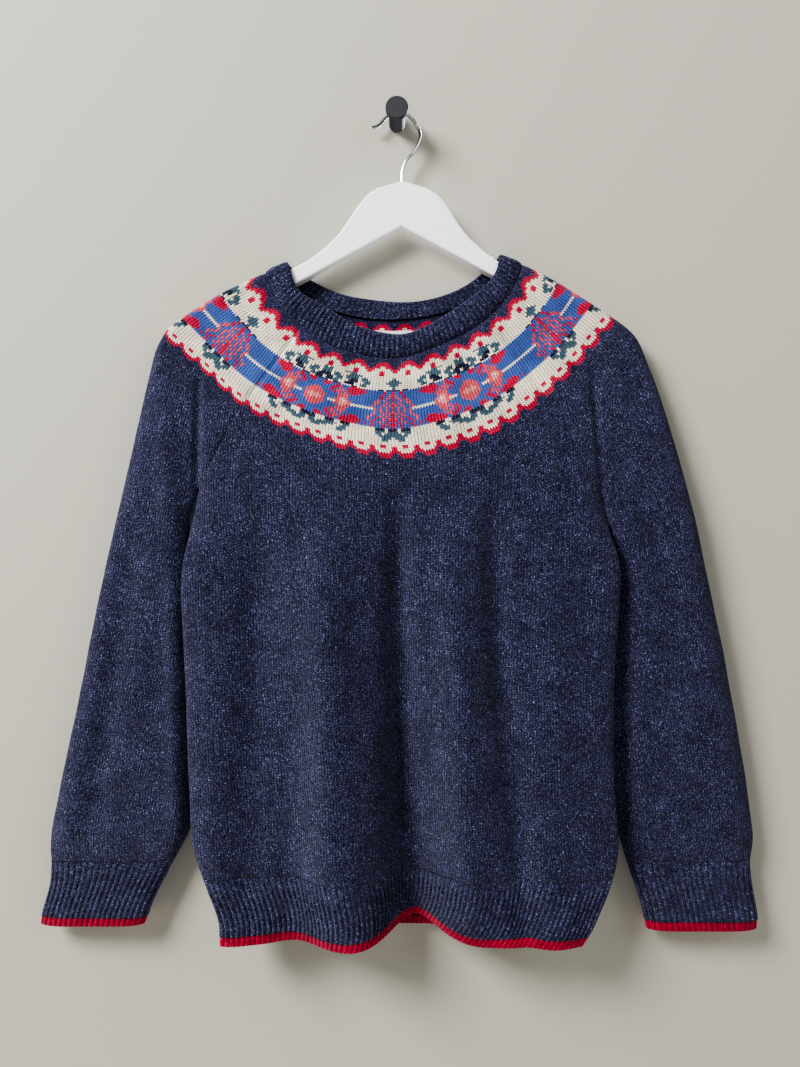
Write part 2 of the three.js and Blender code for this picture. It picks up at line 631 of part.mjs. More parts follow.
// Closed solid between the two faces of a wall; openRows is how far its two sides stay apart
function wallGeometry(wall, borders, openRows, inset = SEAM_GAP / 2) {
  const outer = trimmed(wall.outer, borders, openRows, inset);
  const inner = trimmed(wall.inner, borders, openRows, inset);
  const corners = [];
  const face = (...points) => {
    for (let i = 1; i < points.length - 1; i += 1) corners.push(points[0], points[i], points[i + 1]);
  };
  const rows = outer.length - 1;
  const columns = outer[0].length - 1;
  for (let r = 0; r < rows; r += 1) {
    for (let c = 0; c < columns; c += 1) {
      face(outer[r][c], outer[r + 1][c], outer[r][c + 1]);
      face(outer[r][c + 1], outer[r + 1][c], outer[r + 1][c + 1]);
      face(inner[r][c], inner[r][c + 1], inner[r + 1][c]);
      face(inner[r][c + 1], inner[r + 1][c + 1], inner[r + 1][c]);
    }
  }
  for (let c = 0; c < columns; c += 1) {
    face(outer[0][c], outer[0][c + 1], inner[0][c + 1], inner[0][c]);
    face(outer[rows][c], inner[rows][c], inner[rows][c + 1], outer[rows][c + 1]);
  }
  for (let r = 0; r < Math.min(openRows, rows); r += 1) {
    face(outer[r][0], inner[r][0], inner[r + 1][0], outer[r + 1][0]);
    face(outer[r][columns], outer[r + 1][columns], inner[r + 1][columns], inner[r][columns]);
  }
  const geometry = new THREE.BufferGeometry().setFromPoints(corners);
  geometry.computeVertexNormals();
  return geometry;
}

// Wooden hanger: half its outline from the hook down the arm, mirrored and given its thickness
function hangerGeometry() {
  const shoulder = HANGER_TOP[HANGER_TOP.length - 1];
  const endTop = shoulder.z - (HANGER_HALF_WIDTH - shoulder.out) * HANGER_ARM_SLOPE;
  const armDrop = HANGER_APEX - shoulder.out * HANGER_UNDERSIDE_SLOPE - shoulder.z;
  const tip = HANGER_HALF_WIDTH - HANGER_END_ROUND;
  const half = new THREE.SplineCurve(HANGER_TOP.map((row) => new THREE.Vector2(row.out, row.z)));
  const right = half.getPoints(HANGER_TOP_STEPS);
  const end = new THREE.QuadraticBezierCurve(
    new THREE.Vector2(tip, endTop + HANGER_END_ROUND * HANGER_ARM_SLOPE),
    new THREE.Vector2(HANGER_HALF_WIDTH, endTop),
    new THREE.Vector2(HANGER_HALF_WIDTH, endTop + armDrop / 2),
  );
  right.push(...end.getPoints(HANGER_END_STEPS));
  right.push(new THREE.Vector2(tip, endTop + HANGER_END_ROUND * HANGER_ARM_SLOPE + armDrop));
  right.push(new THREE.Vector2(shoulder.out, shoulder.z + armDrop));
  const left = right.slice(1).reverse().map((p) => new THREE.Vector2(-p.x, p.y));
  const shape = new THREE.Shape([...right, new THREE.Vector2(0, HANGER_APEX), ...left]);
  const geometry = new THREE.ExtrudeGeometry(shape, {
    depth: HANGER_THICK - 2 * HANGER_EDGE,
    bevelThickness: HANGER_EDGE,
    bevelSize: HANGER_EDGE,
    bevelOffset: -HANGER_EDGE,
    bevelSegments: 2,
  });
  return geometry.rotateX(Math.PI / 2).translate(HANGER_X, HANGER_BACK - HANGER_EDGE, 0);
}

function hookGeometry() {
  const route = new THREE.CatmullRomCurve3(HOOK_ROUTE.map((p) => new THREE.Vector3(p.x, p.y, p.z)));
  const section = new THREE.Shape().absarc(0, 0, WIRE / 2, 0, Math.PI * 2);
  return new THREE.ExtrudeGeometry(section, {
    extrudePath: route,
    steps: HOOK_STEPS,
    curveSegments: WIRE_SEGMENTS,
  });
}

function pegGeometry() {
  const profile = [
    { r: 0, y: -PEG.reach }, { r: PEG.head - PEG.edge, y: -PEG.reach },
    { r: PEG.head, y: -PEG.reach + PEG.edge }, { r: PEG.head, y: -PEG.reach + PEG.headThick },
    { r: PEG.barrel, y: -PEG.reach + PEG.headThick }, { r: PEG.barrel, y: 0 }, { r: 0, y: 0 },
  ];
  return new THREE.LatheGeometry(profile.map((row) => new THREE.Vector2(row.r, row.y)), PEG_SEGMENTS);
}

function labelGeometry() {
  const geometry = new THREE.BoxGeometry(LABEL.width, LABEL.thick, LABEL.tall);
  return geometry.translate(LABEL.x, LABEL.back - LABEL.thick / 2, LABEL.top - LABEL.tall / 2);
}

const navyWool = new THREE.MeshStandardMaterial({ color: 0x2a3050, roughness: 0.95, metalness: 0 });
const redWool = new THREE.MeshStandardMaterial({ color: 0xb81f3a, roughness: 0.95, metalness: 0 });
const yokeWool = new THREE.MeshStandardMaterial({ color: 0x7f8fc4, roughness: 0.95, metalness: 0 });
const whitePaint = new THREE.MeshStandardMaterial({ color: 0xe9e7ec, roughness: 0.45, metalness: 0 });
const steel = new THREE.MeshStandardMaterial({ color: 0x9a9ca0, roughness: 0.3, metalness: 1 });
const blackPaint = new THREE.MeshStandardMaterial({ color: 0x33353a, roughness: 0.6, metalness: 0.2 });
const labelCloth = new THREE.MeshStandardMaterial({ color: 0xf2f0ea, roughness: 0.8, metalness: 0 });

const jumperOnHanger = new THREE.Group();
function add(name, geometry, material) {
  const mesh = new THREE.Mesh(geometry, material);
  mesh.name = name;
  jumperOnHanger.add(mesh);
}

// Yoke and neckband are rings, so their two sides meet all the way down
add("yoke", wallGeometry(plainWall(sheets.yoke, CLOTH), ["top", "bottom"], 0), yokeWool);
const shoulderColumn = yokeFront[0].length - 1;
const neckColumns = sheets.yoke[0].length - 1;
const neckWall = ribbedWall(sheets.neckband, NECKBAND_CLOTH, [
  { from: 0, to: shoulderColumn, ribs: NECK_RIBS_FRONT },
  { from: shoulderColumn, to: neckColumns, ribs: NECK_RIBS_BACK },
]);
add("neckband", wallGeometry(neckWall, ["bottom"], 0, SEAM_GAP), navyWool);

for (const face of ["front", "back"]) {
  const panel = wallGeometry(plainWall(sheets[face], CLOTH), ["top", "bottom", "sides"], Infinity);
  add(face, panel, navyWool);
  const ribs = [{ from: 0, to: BODY_COLUMNS, ribs: WELT_RIBS }];
  const welt = ribbedWall(sheets[`welt_${face}`], CLOTH, ribs);
  add(`welt_${face}`, wallGeometry(welt, ["top", "bottom", "sides"], Infinity, SEAM_GAP), navyWool);
  const tip = plainWall(sheets[`hem_tip_${face}`], TIP_CLOTH);
  add(`hem_tip_${face}`, wallGeometry(tip, ["top", "sides"], Infinity, SEAM_GAP), redWool);
}

for (const side of ["left", "right"]) {
  const sleeve = plainWall(sheets[`sleeve_${side}`], CLOTH, "sleeve");
  add(`sleeve_${side}`, wallGeometry(sleeve, ["top", "bottom", "sides"], RAGLAN_ROWS), navyWool);
  const ribs = [{ from: 0, to: 2 * SLEEVE_COLUMNS, ribs: CUFF_RIBS }];
  const cuff = ribbedWall(sheets[`cuff_${side}`], CLOTH, ribs);
  add(`cuff_${side}`, wallGeometry(cuff, ["top", "bottom"], 0, SEAM_GAP), navyWool);
  const tip = plainWall(sheets[`cuff_tip_${side}`], TIP_CLOTH);
  add(`cuff_tip_${side}`, wallGeometry(tip, ["top"], 0, SEAM_GAP), redWool);
}

add("neck_label", labelGeometry(), labelCloth);
add("hanger", hangerGeometry(), whitePaint);
add("hanger_hook", hookGeometry(), steel);
add("wall_peg", pegGeometry(), blackPaint);

export default jumperOnHanger;
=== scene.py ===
"""Fair isle yoke jumper on a white wooden hanger, hung by its wire hook from a round wall peg."""

import math

import bmesh
import bpy
import numpy as np
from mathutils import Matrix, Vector


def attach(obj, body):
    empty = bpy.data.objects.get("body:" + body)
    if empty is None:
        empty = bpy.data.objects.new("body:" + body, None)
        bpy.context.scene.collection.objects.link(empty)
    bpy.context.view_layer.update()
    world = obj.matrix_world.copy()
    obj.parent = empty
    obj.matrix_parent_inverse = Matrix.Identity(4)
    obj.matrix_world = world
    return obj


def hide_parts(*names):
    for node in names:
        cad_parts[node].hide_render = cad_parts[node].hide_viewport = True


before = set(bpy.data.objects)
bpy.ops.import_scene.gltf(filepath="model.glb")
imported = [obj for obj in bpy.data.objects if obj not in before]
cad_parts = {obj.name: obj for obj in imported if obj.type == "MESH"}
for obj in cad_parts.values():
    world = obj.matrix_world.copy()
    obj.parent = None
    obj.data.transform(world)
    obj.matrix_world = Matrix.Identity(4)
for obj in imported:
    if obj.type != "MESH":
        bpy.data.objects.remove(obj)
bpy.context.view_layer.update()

# The hang of the cloth: the same tables and curves as in the part's source, in millimetres of
# the front view (x, z), and the depth y of the cloth's outer face at each place in that view.
MM = 0.001
CENTRE_X = 5.3
HEM = -838
WELT_TOP = -775
WELT_BOTTOM = -829
CUFF_TOP = -768
EDGES = {
    "outer left": {
        "x": [-113, -124, -136, -176, -200, -235, -242, -250, -258, -280, -308, -333, -356, -358,
              -356, -366, -368],
        "z": [-150, -153, -161, -180, -194, -218, -228, -244, -278, -376, -500, -624, -732, -755,
              -786, -825, -840],
    },
    "outer right": {
        "x": [106, 118, 129, 158, 180, 227, 246, 260, 268, 297, 325, 350, 367, 368, 364, 371, 371],
        "z": [-142.5, -145.5, -152, -167, -180, -211, -227, -257, -278, -376, -500, -624, -732,
              -748, -780, -825, -842],
    },
    "crease left": {"x": [-204, -202, -202.5], "z": [-275, -336, -387]},
    "crease right": {"x": [197, 203, 209.5], "z": [-275, -326, -397]},
    "side left": {
        "x": [-202.5, -205, -211, -216, -217, -211, -206, -202, -192, -176, -174],
        "z": [-387, -403, -437, -468, -498, -639, -727, -750, -775, -815, -840],
    },
    "side right": {
        "x": [209.5, 211.5, 217, 224, 225, 219, 219, 221, 215, 195, 181],
        "z": [-397, -410, -433, -460, -488, -600, -690, -745, -775, -820, -840],
    },
    "inner left": {
        "x": [-202.5, -206.5, -211, -209, -206, -209, -210, -213, -227, -251.5, -262],
        "z": [-387, -403, -420, -455, -500, -640, -700, -735, -763, -809, -840],
    },
    "inner right": {
        "x": [209.5, 213, 217.5, 217, 214, 214, 216, 222, 234, 251.5, 258],
        "z": [-397, -410, -427, -455, -500, -580, -660, -715, -758, -809, -842],
    },
}
SEAMS = {
    "yoke front": {
        "x": [-242, -200, -159, -110, -55, 3, 60, 115, 169, 203, 227],
        "z": [-228, -264, -301, -327, -346, -356, -345, -321, -277, -240, -211],
    },
    "yoke back": {
        "x": [-242, -203, -165, -110, -55, 3, 60, 112, 165, 200, 227],
        "z": [-228, -254, -273, -293, -305, -309, -304, -290, -264, -238, -211],
    },
    "neck front": {
        "x": [-136, -126, -107, -63, 1, 63, 97, 118, 129],
        "z": [-161, -185, -210, -240, -251, -229, -206, -180, -152],
    },
    "neck back": {
        "x": [-136, -108, -78, -42, -4, 34, 68, 100, 129],
        "z": [-161, -181, -194, -204, -207, -203, -193, -175, -152],
    },
    "band front": {
        "x": [-113, -109, -99, -68, -42, 1, 30, 60, 86, 101, 106],
        "z": [-150, -163, -185, -204, -221, -231, -222, -203, -183, -165, -142.5],
    },
    "band back": {
        "x": [-113, -86, -52, 1, 35, 65, 87, 106],
        "z": [-150, -168, -182, -189, -186, -175.5, -161, -142.5],
    },
}
RAGLAN_AT = {"left": 2, "right": 8}
BODY_DEPTH = {
    "z": [-150, -250, -330, -390, -450, -600, -728, -775, -840],
    "front": [-26, -27.5, -35, -41, -46, -48, -50, -52, -54],
    "back": [-1.5, -1.8, -3, -4, -5, -6, -7, -8, -8],
    "back at side": [-1.5, -2, -7, -17, -27, -28, -27, -24, -20],
    "side": [-14, -18, -24, -30, -38, -38, -44, -50, -58],
}
SLEEVE_DEPTH = {
    "z": [-150, -250, -330, -390, -450, -600, -735, -768, -842],
    "front": [-26, -27.5, -33, -35, -34, -32, -30, -27, -27],
    "back": [-1.5, -1.8, -2.5, -3, -3, -4, -6, -8, -9],
    "inner": [-14, -18, -24, -26, -18, -18, -18, -18, -18],
    "outer": [-14, -15, -17, -18, -18, -18, -18, -18, -18],
}
CREASE_DEPTH = {"z": [-150, -390], "y": [-14, -28]}
FOLD_COLUMNS = ("x_top", "x_hem", "z_top", "width", "rise_top", "rise_hem")
FRONT_FOLDS = [
    (-75, -42, -330, 34, 2, 19), (2, 19, -400, 27, -2, -37), (66, 96, -380, 30, 4, 5),
    (160, 150, -560, 42, 1, 13), (-128, -100, -420, 26, -3, -10), (-178, -160, -520, 30, 1, 9),
]
BACK_FOLDS = [(-70, -60, -420, 36, 2, 5), (60, 80, -420, 36, 2, 5)]

# Creases, each along a line in the front view: its two ends, its width and how far
# the cloth comes forward (on the front, below 0 is a hollow; on the back, above 0 is one).
CREASE_COLUMNS = ("face", "part", "x_top", "z_top", "x_low", "z_low", "width", "forward")
CREASES = [
    ("front", "body", 0, -365, 4, -780, 13, -12),
    ("front", "body", 24, -520, 32, -800, 20, -4),
    ("front", "body", -69, -390, -73, -880, 22, 9),
    ("front", "body", 52, -390, 78, -880, 17, 8),
    ("front", "body", 95, -365, 106, -640, 13, -10),
    ("front", "body", 106, -570, 134, -870, 15, -10),
    ("front", "body", -140, -390, -152, -890, 22, -9),
    ("front", "body", 152, -400, 162, -740, 19, 4),
    ("front", "sleeve", -238, -270, -226, -450, 12, 5),
    ("front", "sleeve", -228, -430, -222, -790, 10, 5),
    ("front", "sleeve", -262, -380, -322, -790, 16, -5),
    ("front", "sleeve", -322, -697, -218, -700, 7, -3.5),
    ("front", "sleeve", -322, -640, -238, -626, 8, -3),
    ("front", "sleeve", 290, -330, 340, -790, 24, 4),
    ("front", "sleeve", 226, -405, 231, -800, 15, -8),
    ("front", "sleeve", 240, -532, 306, -560, 9, -3),
    ("front", "sleeve", 250, -706, 346, -690, 8, -3),
    ("front", "any", -157, -297, -203, -390, 2.4, -1.3),
    ("front", "any", 167, -316, 210, -400, 2.4, -1.3),
    ("front", "any", -203, -258, -203, -402, 4, -5),
    ("front", "any", 199, -250, 210, -412, 4, -4.5),
    ("front", "any", -92, -212, -161, -306, 2.4, -2),
    ("front", "any", 92, -202, 171, -322, 2.4, -2),
    ("back", "body", -34, -380, -40, -850, 20, 3),
    ("back", "body", -112, -430, -130, -840, 20, 4),
    ("back", "body", 118, -420, 128, -850, 22, 4),
    ("back", "any", -164, -268, -203, -390, 2.6, 1.6),
    ("back", "any", 164, -260, 210, -400, 2.6, 1.6),
    ("back", "sleeve", -262, -360, -304, -770, 17, 5),
    ("back", "sleeve", 270, -370, 318, -770, 17, 5),
    ("back", "sleeve", -322, -668, -236, -655, 8, 3),
    ("back", "sleeve", 246, -602, 326, -616, 8, 3),
]

# Runs, radii and heights (z) that round the cloth, in millimetres.
FOLD_START = 90
FOLD_GROWTH = 1.7
CREASE_ENDS = 0.22
PARTING = 60
ACROSS_FOLD = 50
BACK_SPREAD = 90
EDGE_RADIUS = {"high": 8, "low": 28, "z_high": -230, "run": 150}
SIDE_FOLD = {"z_top": -262, "arch": 8, "radius": 26}
EDGE_STEP = 6.0
SWELL = 0.5

# Points of a mesh closer than this are joined, in metres.
WELD = 2e-5


def share_of(value):
    """The value kept between 0 and 1."""
    return np.clip(value, 0, 1)


def mix(a, b, t):
    """From a to b, by the share t."""
    return a + (b - a) * t


def ease(value):
    """A share that starts and ends softly."""
    return share_of(value) ** 2 * (3 - 2 * share_of(value))


def blend_four(a, slope_a, b, slope_b, t):
    """A smooth curve from a to b with the given slopes at its ends."""
    return ((2 * t**3 - 3 * t**2 + 1) * a + (t**3 - 2 * t**2 + t) * slope_a
            + (3 * t**2 - 2 * t**3) * b + (t**3 - t**2) * slope_b)


def look_up(table, z, column):
    """A column's value at each height z, by a smooth curve through the table's rows."""
    knots = -np.array(table["z"], float)
    values = np.array(table[column], float)
    at = np.clip(-np.asarray(z, float), knots[0], knots[-1])
    i = np.clip(np.searchsorted(knots, at, side="right") - 1, 0, len(knots) - 2)
    before = np.maximum(i - 1, 0)
    after = np.minimum(i + 2, len(knots) - 1)
    span = knots[i + 1] - knots[i]
    slope_a = (values[i + 1] - values[before]) / (knots[i + 1] - knots[before]) * span
    slope_b = (values[after] - values[i]) / (knots[after] - knots[i]) * span
    return blend_four(values[i], slope_a, values[i + 1], slope_b, (at - knots[i]) / span)


def curve(table, rows):
    """Points (x, z) of a smooth curve through a table's rows; rows counts along the table."""
    points = np.column_stack([table["x"], table["z"]]).astype(float)
    last = len(points) - 1
    i = np.clip(np.floor(rows).astype(int), 0, last - 1)
    a = points[i]
    b = points[i + 1]
    slope_a = (b - points[np.maximum(i - 1, 0)]) / 2
    slope_b = (points[np.minimum(i + 2, last)] - a) / 2
    return blend_four(a, slope_a, b, slope_b, (rows - i)[:, None])


def run_lengths(points):
    """How far along its column each point of a row or grid lies from the first."""
    steps = np.linalg.norm(np.diff(points, axis=0), axis=-1)
    return np.concatenate([np.zeros_like(steps[:1]), np.cumsum(steps, axis=0)])


def curve_by_length(table, shares):
    """Points (x, z) of the same curve at shares of its length."""
    rows = np.linspace(0, len(table["x"]) - 1, 600)
    lengths = run_lengths(curve(table, rows))
    return curve(table, np.interp(shares, lengths / lengths[-1], rows))


def outline_distance(side, x, z):
    """How far each place is from the jumper's outer edge in the front view."""
    table = EDGES[f"outer {side}"]
    zs = np.arange(table["z"][0], table["z"][-1], -EDGE_STEP)
    points = np.column_stack([look_up(table, zs, "x"), zs])
    nearest = np.full(x.shape, np.inf)
    for a, b in zip(points[:-1], points[1:]):
        along = b - a
        share = share_of(((x - a[0]) * along[0] + (z - a[1]) * along[1]) / (along @ along))
        off = np.hypot(x - a[0] - share * along[0], z - a[1] - share * along[1])
        nearest = np.minimum(nearest, off)
    return nearest


def roundness(distance, radius):
    """Share of the full depth that a folded edge has at this distance from it."""
    share = share_of((np.abs(distance) - 0.1) / radius)
    return np.sqrt(1 - (1 - share) ** 2)


def fold_rise(folds, x, z):
    """How far the large folds bring the cloth forward at each place."""
    rise = np.zeros_like(x)
    for row in folds:
        fold = dict(zip(FOLD_COLUMNS, row))
        down = share_of((fold["z_top"] - z) / (fold["z_top"] - HEM))
        centre = mix(fold["x_top"], fold["x_hem"], down)
        start = ease((fold["z_top"] - z) / FOLD_START)
        height = mix(fold["rise_top"], fold["rise_hem"], down**FOLD_GROWTH) * start
        rise += height * np.exp(-(((x - centre) / fold["width"]) ** 2))
    return rise


def crease_rise(face, part, x, z):
    """How far the creases of a face and part bring the cloth forward at each place."""
    rise = np.zeros_like(x)
    for row in CREASES:
        crease = dict(zip(CREASE_COLUMNS, row))
        if crease["face"] != face or crease["part"] not in (part, "any"):
            continue
        along_x = crease["x_low"] - crease["x_top"]
        along_z = crease["z_low"] - crease["z_top"]
        length = math.hypot(along_x, along_z)
        share = ((x - crease["x_top"]) * along_x + (z - crease["z_top"]) * along_z) / length**2
        off = ((x - crease["x_top"]) * along_z - (z - crease["z_top"]) * along_x) / length
        ends = ease(share / CREASE_ENDS) * ease((1 - share) / CREASE_ENDS)
        rise += crease["forward"] * ends * np.exp(-((off / crease["width"]) ** 2))
    return rise


def depth_of_half(face, part, side, x, z):
    """Depth (y) of the cloth's outer face in the left or right half of the jumper."""
    to_body = 1 if side == "left" else -1
    underarm = EDGES[f"side {side}"]["z"][0]
    below = np.maximum(underarm - z, 0)
    parted = ease(below / PARTING)
    low_edge = EDGES[f"side {side}" if part == "body" else f"inner {side}"]
    edge = np.where(below > 0, look_up(low_edge, z, "x"), look_up(EDGES[f"crease {side}"], z, "x"))
    inward = (x - edge) * to_body
    is_body = 1.0 if part == "body" else 0.0
    near_body = mix(ease((inward + ACROSS_FOLD / 2) / ACROSS_FOLD), is_body, parted)
    if face == "front":
        body = look_up(BODY_DEPTH, z, "front") - fold_rise(FRONT_FOLDS, x, z)
    else:
        spread = ease(np.abs(inward) / BACK_SPREAD)
        body = mix(look_up(BODY_DEPTH, z, "back at side"), look_up(BODY_DEPTH, z, "back"), spread)
        body = body - fold_rise(BACK_FOLDS, x, z) * spread
    y = mix(look_up(SLEEVE_DEPTH, z, face), body, near_body) - crease_rise(face, part, x, z)
    radius = mix(EDGE_RADIUS["high"], EDGE_RADIUS["low"],
                 share_of((EDGE_RADIUS["z_high"] - z) / EDGE_RADIUS["run"]))
    rounded = mix(look_up(SLEEVE_DEPTH, z, "outer"), y,
                  roundness(outline_distance(side, x, z), radius))
    y = rounded if part != "body" else np.where(below == 0, rounded, y)
    rise = share_of((z - underarm) / (SIDE_FOLD["z_top"] - underarm))
    arch = np.where(below > 0, 0, np.sqrt(1 - (1 - rise) ** 2))
    from_fold = np.hypot(inward, SIDE_FOLD["arch"] * arch)
    opened = 1 - (1 - arch) * (1 - roundness(from_fold, SIDE_FOLD["radius"]))
    crease = look_up(CREASE_DEPTH, np.maximum(z, underarm), "y")
    apart = look_up(BODY_DEPTH, z, "side") if part == "body" else look_up(SLEEVE_DEPTH, z, "inner")
    return mix(mix(crease, apart, parted), y, opened)


def raised(face, part, flat):
    """Points in space of the cloth's outer face over a grid of front-view places (x, z)."""
    x = flat[..., 0]
    z = flat[..., 1]
    y = np.where(x < CENTRE_X, depth_of_half(face, part, "left", x, z),
                 depth_of_half(face, part, "right", x, z))
    return np.stack([x, y, z], axis=-1)


def coons(top, bottom, left, right, across, down):
    """Grid of places between four border curves; row 0 is the top."""
    u = across[None, :, None]
    v = down[:, None, None]
    between = top * (1 - v) + bottom * v + left[:, None] * (1 - u) + right[:, None] * u
    corners = ((top[0] * (1 - u) + top[-1] * u) * (1 - v)
               + (bottom[0] * (1 - u) + bottom[-1] * u) * v)
    return between - corners


def crowded(count, amount=0.6):
    """Steps from 0 to 1 that crowd towards both ends, where the cloth is folded."""
    even = np.linspace(0, 1, count + 1)
    return mix(even, (1 - np.cos(np.pi * even)) / 2, amount)


def along_edge(name, z):
    """Front-view places on a named edge at the heights z."""
    return np.column_stack([look_up(EDGES[name], z, "x"), z])


def outward(points):
    """Unit normals of a grid of points, rows down and columns to the right, facing out."""
    across = np.gradient(points, axis=1)
    down = np.gradient(points, axis=0)
    normal = np.cross(down, across)
    return normal / np.maximum(np.linalg.norm(normal, axis=-1, keepdims=True), 1e-9)


def stitch_map(points, width, height):
    """Stitches across and rows down at each point of a grid, counted from its middle column."""
    across = run_lengths(points.swapaxes(0, 1)).T / width
    down = run_lengths(points) / height
    middle = points.shape[1] // 2
    across = across - across[:, [middle]]
    return np.stack([across, np.repeat(down[:, [middle]], points.shape[1], axis=1)], axis=-1)


def grid_object(name, points, stitches, tube=False):
    """A mesh grid moved onto the points, with the stitch count as its UV map."""
    rows, columns = points.shape[0] - 1, points.shape[1] - 1
    bm = bmesh.new()
    bmesh.ops.create_grid(bm, x_segments=columns, y_segments=rows, size=1)
    mesh = bpy.data.meshes.new(name)
    bm.to_mesh(mesh)
    bm.free()
    mesh.vertices.foreach_set("co", (points[::-1] * MM).reshape(-1))
    corners = np.zeros(len(mesh.loops), int)
    mesh.loops.foreach_get("vertex_index", corners)
    uv = stitches[::-1].reshape(-1, 2)[corners]
    mesh.uv_layers.new(name="UVMap").data.foreach_set("uv", uv.reshape(-1))
    if tube:
        bm = bmesh.new()
        bm.from_mesh(mesh)
        bmesh.ops.remove_doubles(bm, verts=bm.verts, dist=WELD)
        bm.to_mesh(mesh)
        bm.free()
    mesh.shade_smooth()
    made = bpy.data.objects.new(name, mesh)
    bpy.context.scene.collection.objects.link(made)
    return made


def thicken(piece, thickness):
    """Gives a sheet its thickness, inwards from its outer face."""
    shell = piece.modifiers.new("cloth", "SOLIDIFY")
    shell.thickness = thickness * MM
    shell.offset = -1
    return piece


def uneven(points):
    """Small slow swells, so that no cloth is perfectly smooth."""
    x, y, z = (points[..., k] for k in range(3))
    waves = (np.sin(x / 17 + z / 39 + 1.1) + np.sin(z / 23 - x / 31 + y / 15)
             + np.sin(x / 9.5 - z / 14 + 2.3) * 0.5 + np.sin(z / 8.1 + x / 12.7) * 0.4)
    return points + outward(points) * (waves * SWELL / 2)[..., None]


# Shared shader groups. They give heights, masks and colours only; each wool has its own shader.
# Stitches: stocking stitch from the UV map, one unit a stitch across and one a row down, and a
# chance value for each of a stitch's two legs.
# Heather: the flecks of a mixed yarn, as one mask of light and one of dark fibres.
def add_node(tree, kind, values=(), **settings):
    """A shader node whose sockets are given values or linked to other nodes' sockets."""
    made = tree.nodes.new(kind)
    for name, value in settings.items():
        setattr(made, name, value)
    for socket, value in dict(values).items():
        if isinstance(value, bpy.types.NodeSocket):
            tree.links.new(value, made.inputs[socket])
        else:
            made.inputs[socket].default_value = value
    return made


def calc(tree, operation, a, b=0.0, c=0.0):
    """The result of a math node."""
    return add_node(tree, "ShaderNodeMath", {0: a, 1: b, 2: c}, operation=operation).outputs[0]


def colour_mix(tree, factor, a, b, blend="MIX"):
    """Two colours mixed by a factor."""
    return add_node(tree, "ShaderNodeMix", {0: factor, 6: a, 7: b}, data_type="RGBA",
                    blend_type=blend).outputs[2]


def new_group(name, outputs):
    """A shader group with named number outputs, and its output node."""
    group = bpy.data.node_groups.new(name, "ShaderNodeTree")
    for label in outputs:
        group.interface.new_socket(label, in_out="OUTPUT", socket_type="NodeSocketFloat")
    return group, group.nodes.new("NodeGroupOutput")


SLANT = 1.2
GROOVE = {"sharpness": 7.0, "depth": -0.35}
stitches, result = new_group("Stitches", ["Height", "Chance"])
place = add_node(stitches, "ShaderNodeUVMap")
split = add_node(stitches, "ShaderNodeSeparateXYZ", {0: place.outputs[0]})
off_centre = calc(stitches, "ABSOLUTE", calc(stitches, "SUBTRACT",
                  calc(stitches, "FRACT", split.outputs[0]), 0.5))
slanted = calc(stitches, "MULTIPLY_ADD", off_centre, SLANT, split.outputs[1])
row = calc(stitches, "FRACT", slanted)
bead = calc(stitches, "SINE", calc(stitches, "MULTIPLY", row, math.pi))
side_gap = calc(stitches, "POWER", calc(stitches, "MULTIPLY", off_centre, 2.0), 2.0)
hole = calc(stitches, "MULTIPLY", side_gap, calc(stitches, "MULTIPLY_ADD", bead, -0.5, 1.0))
middle = calc(stitches, "POWER", calc(stitches, "SUBTRACT", 1.0,
              calc(stitches, "MULTIPLY", off_centre, 2.0)), GROOVE["sharpness"])
height = calc(stitches, "SUBTRACT", calc(stitches, "MULTIPLY_ADD", bead, 0.25, 0.75), hole)
height = calc(stitches, "MULTIPLY_ADD", middle, GROOVE["depth"], height)
stitches.links.new(height, result.inputs[0])
leg_place = add_node(stitches, "ShaderNodeCombineXYZ", {
    0: calc(stitches, "FLOOR", calc(stitches, "MULTIPLY", split.outputs[0], 2.0)),
    1: calc(stitches, "FLOOR", slanted),
})
chance = add_node(stitches, "ShaderNodeTexWhiteNoise", {"Vector": leg_place.outputs[0]},
                  noise_dimensions="2D")
stitches.links.new(chance.outputs[0], result.inputs[1])

FLECKS = {
    "Light": {"scale": 900, "low": 0.5, "high": 0.68},
    "Dark": {"scale": 800, "low": 0.4, "high": 0.56},
    "Cloud": {"scale": 45, "low": 0.3, "high": 0.7},
}
heather, result = new_group("Heather", FLECKS)
where = add_node(heather, "ShaderNodeTexCoord").outputs["Object"]
for name, fleck in FLECKS.items():
    noise = add_node(heather, "ShaderNodeTexNoise", {"Vector": where, "Scale": fleck["scale"],
                     "Detail": 1.0, "Roughness": 0.6})
    mask = add_node(heather, "ShaderNodeMapRange", {0: noise.outputs[0], 1: fleck["low"],
                    2: fleck["high"]})
    heather.links.new(mask.outputs[0], result.inputs[name])


def new_material(name):
    """A material with its shader's tree and its main shader node."""
    material = bpy.data.materials.new(name)
    material.use_nodes = True
    return material, material.node_tree, material.node_tree.nodes["Principled BSDF"]


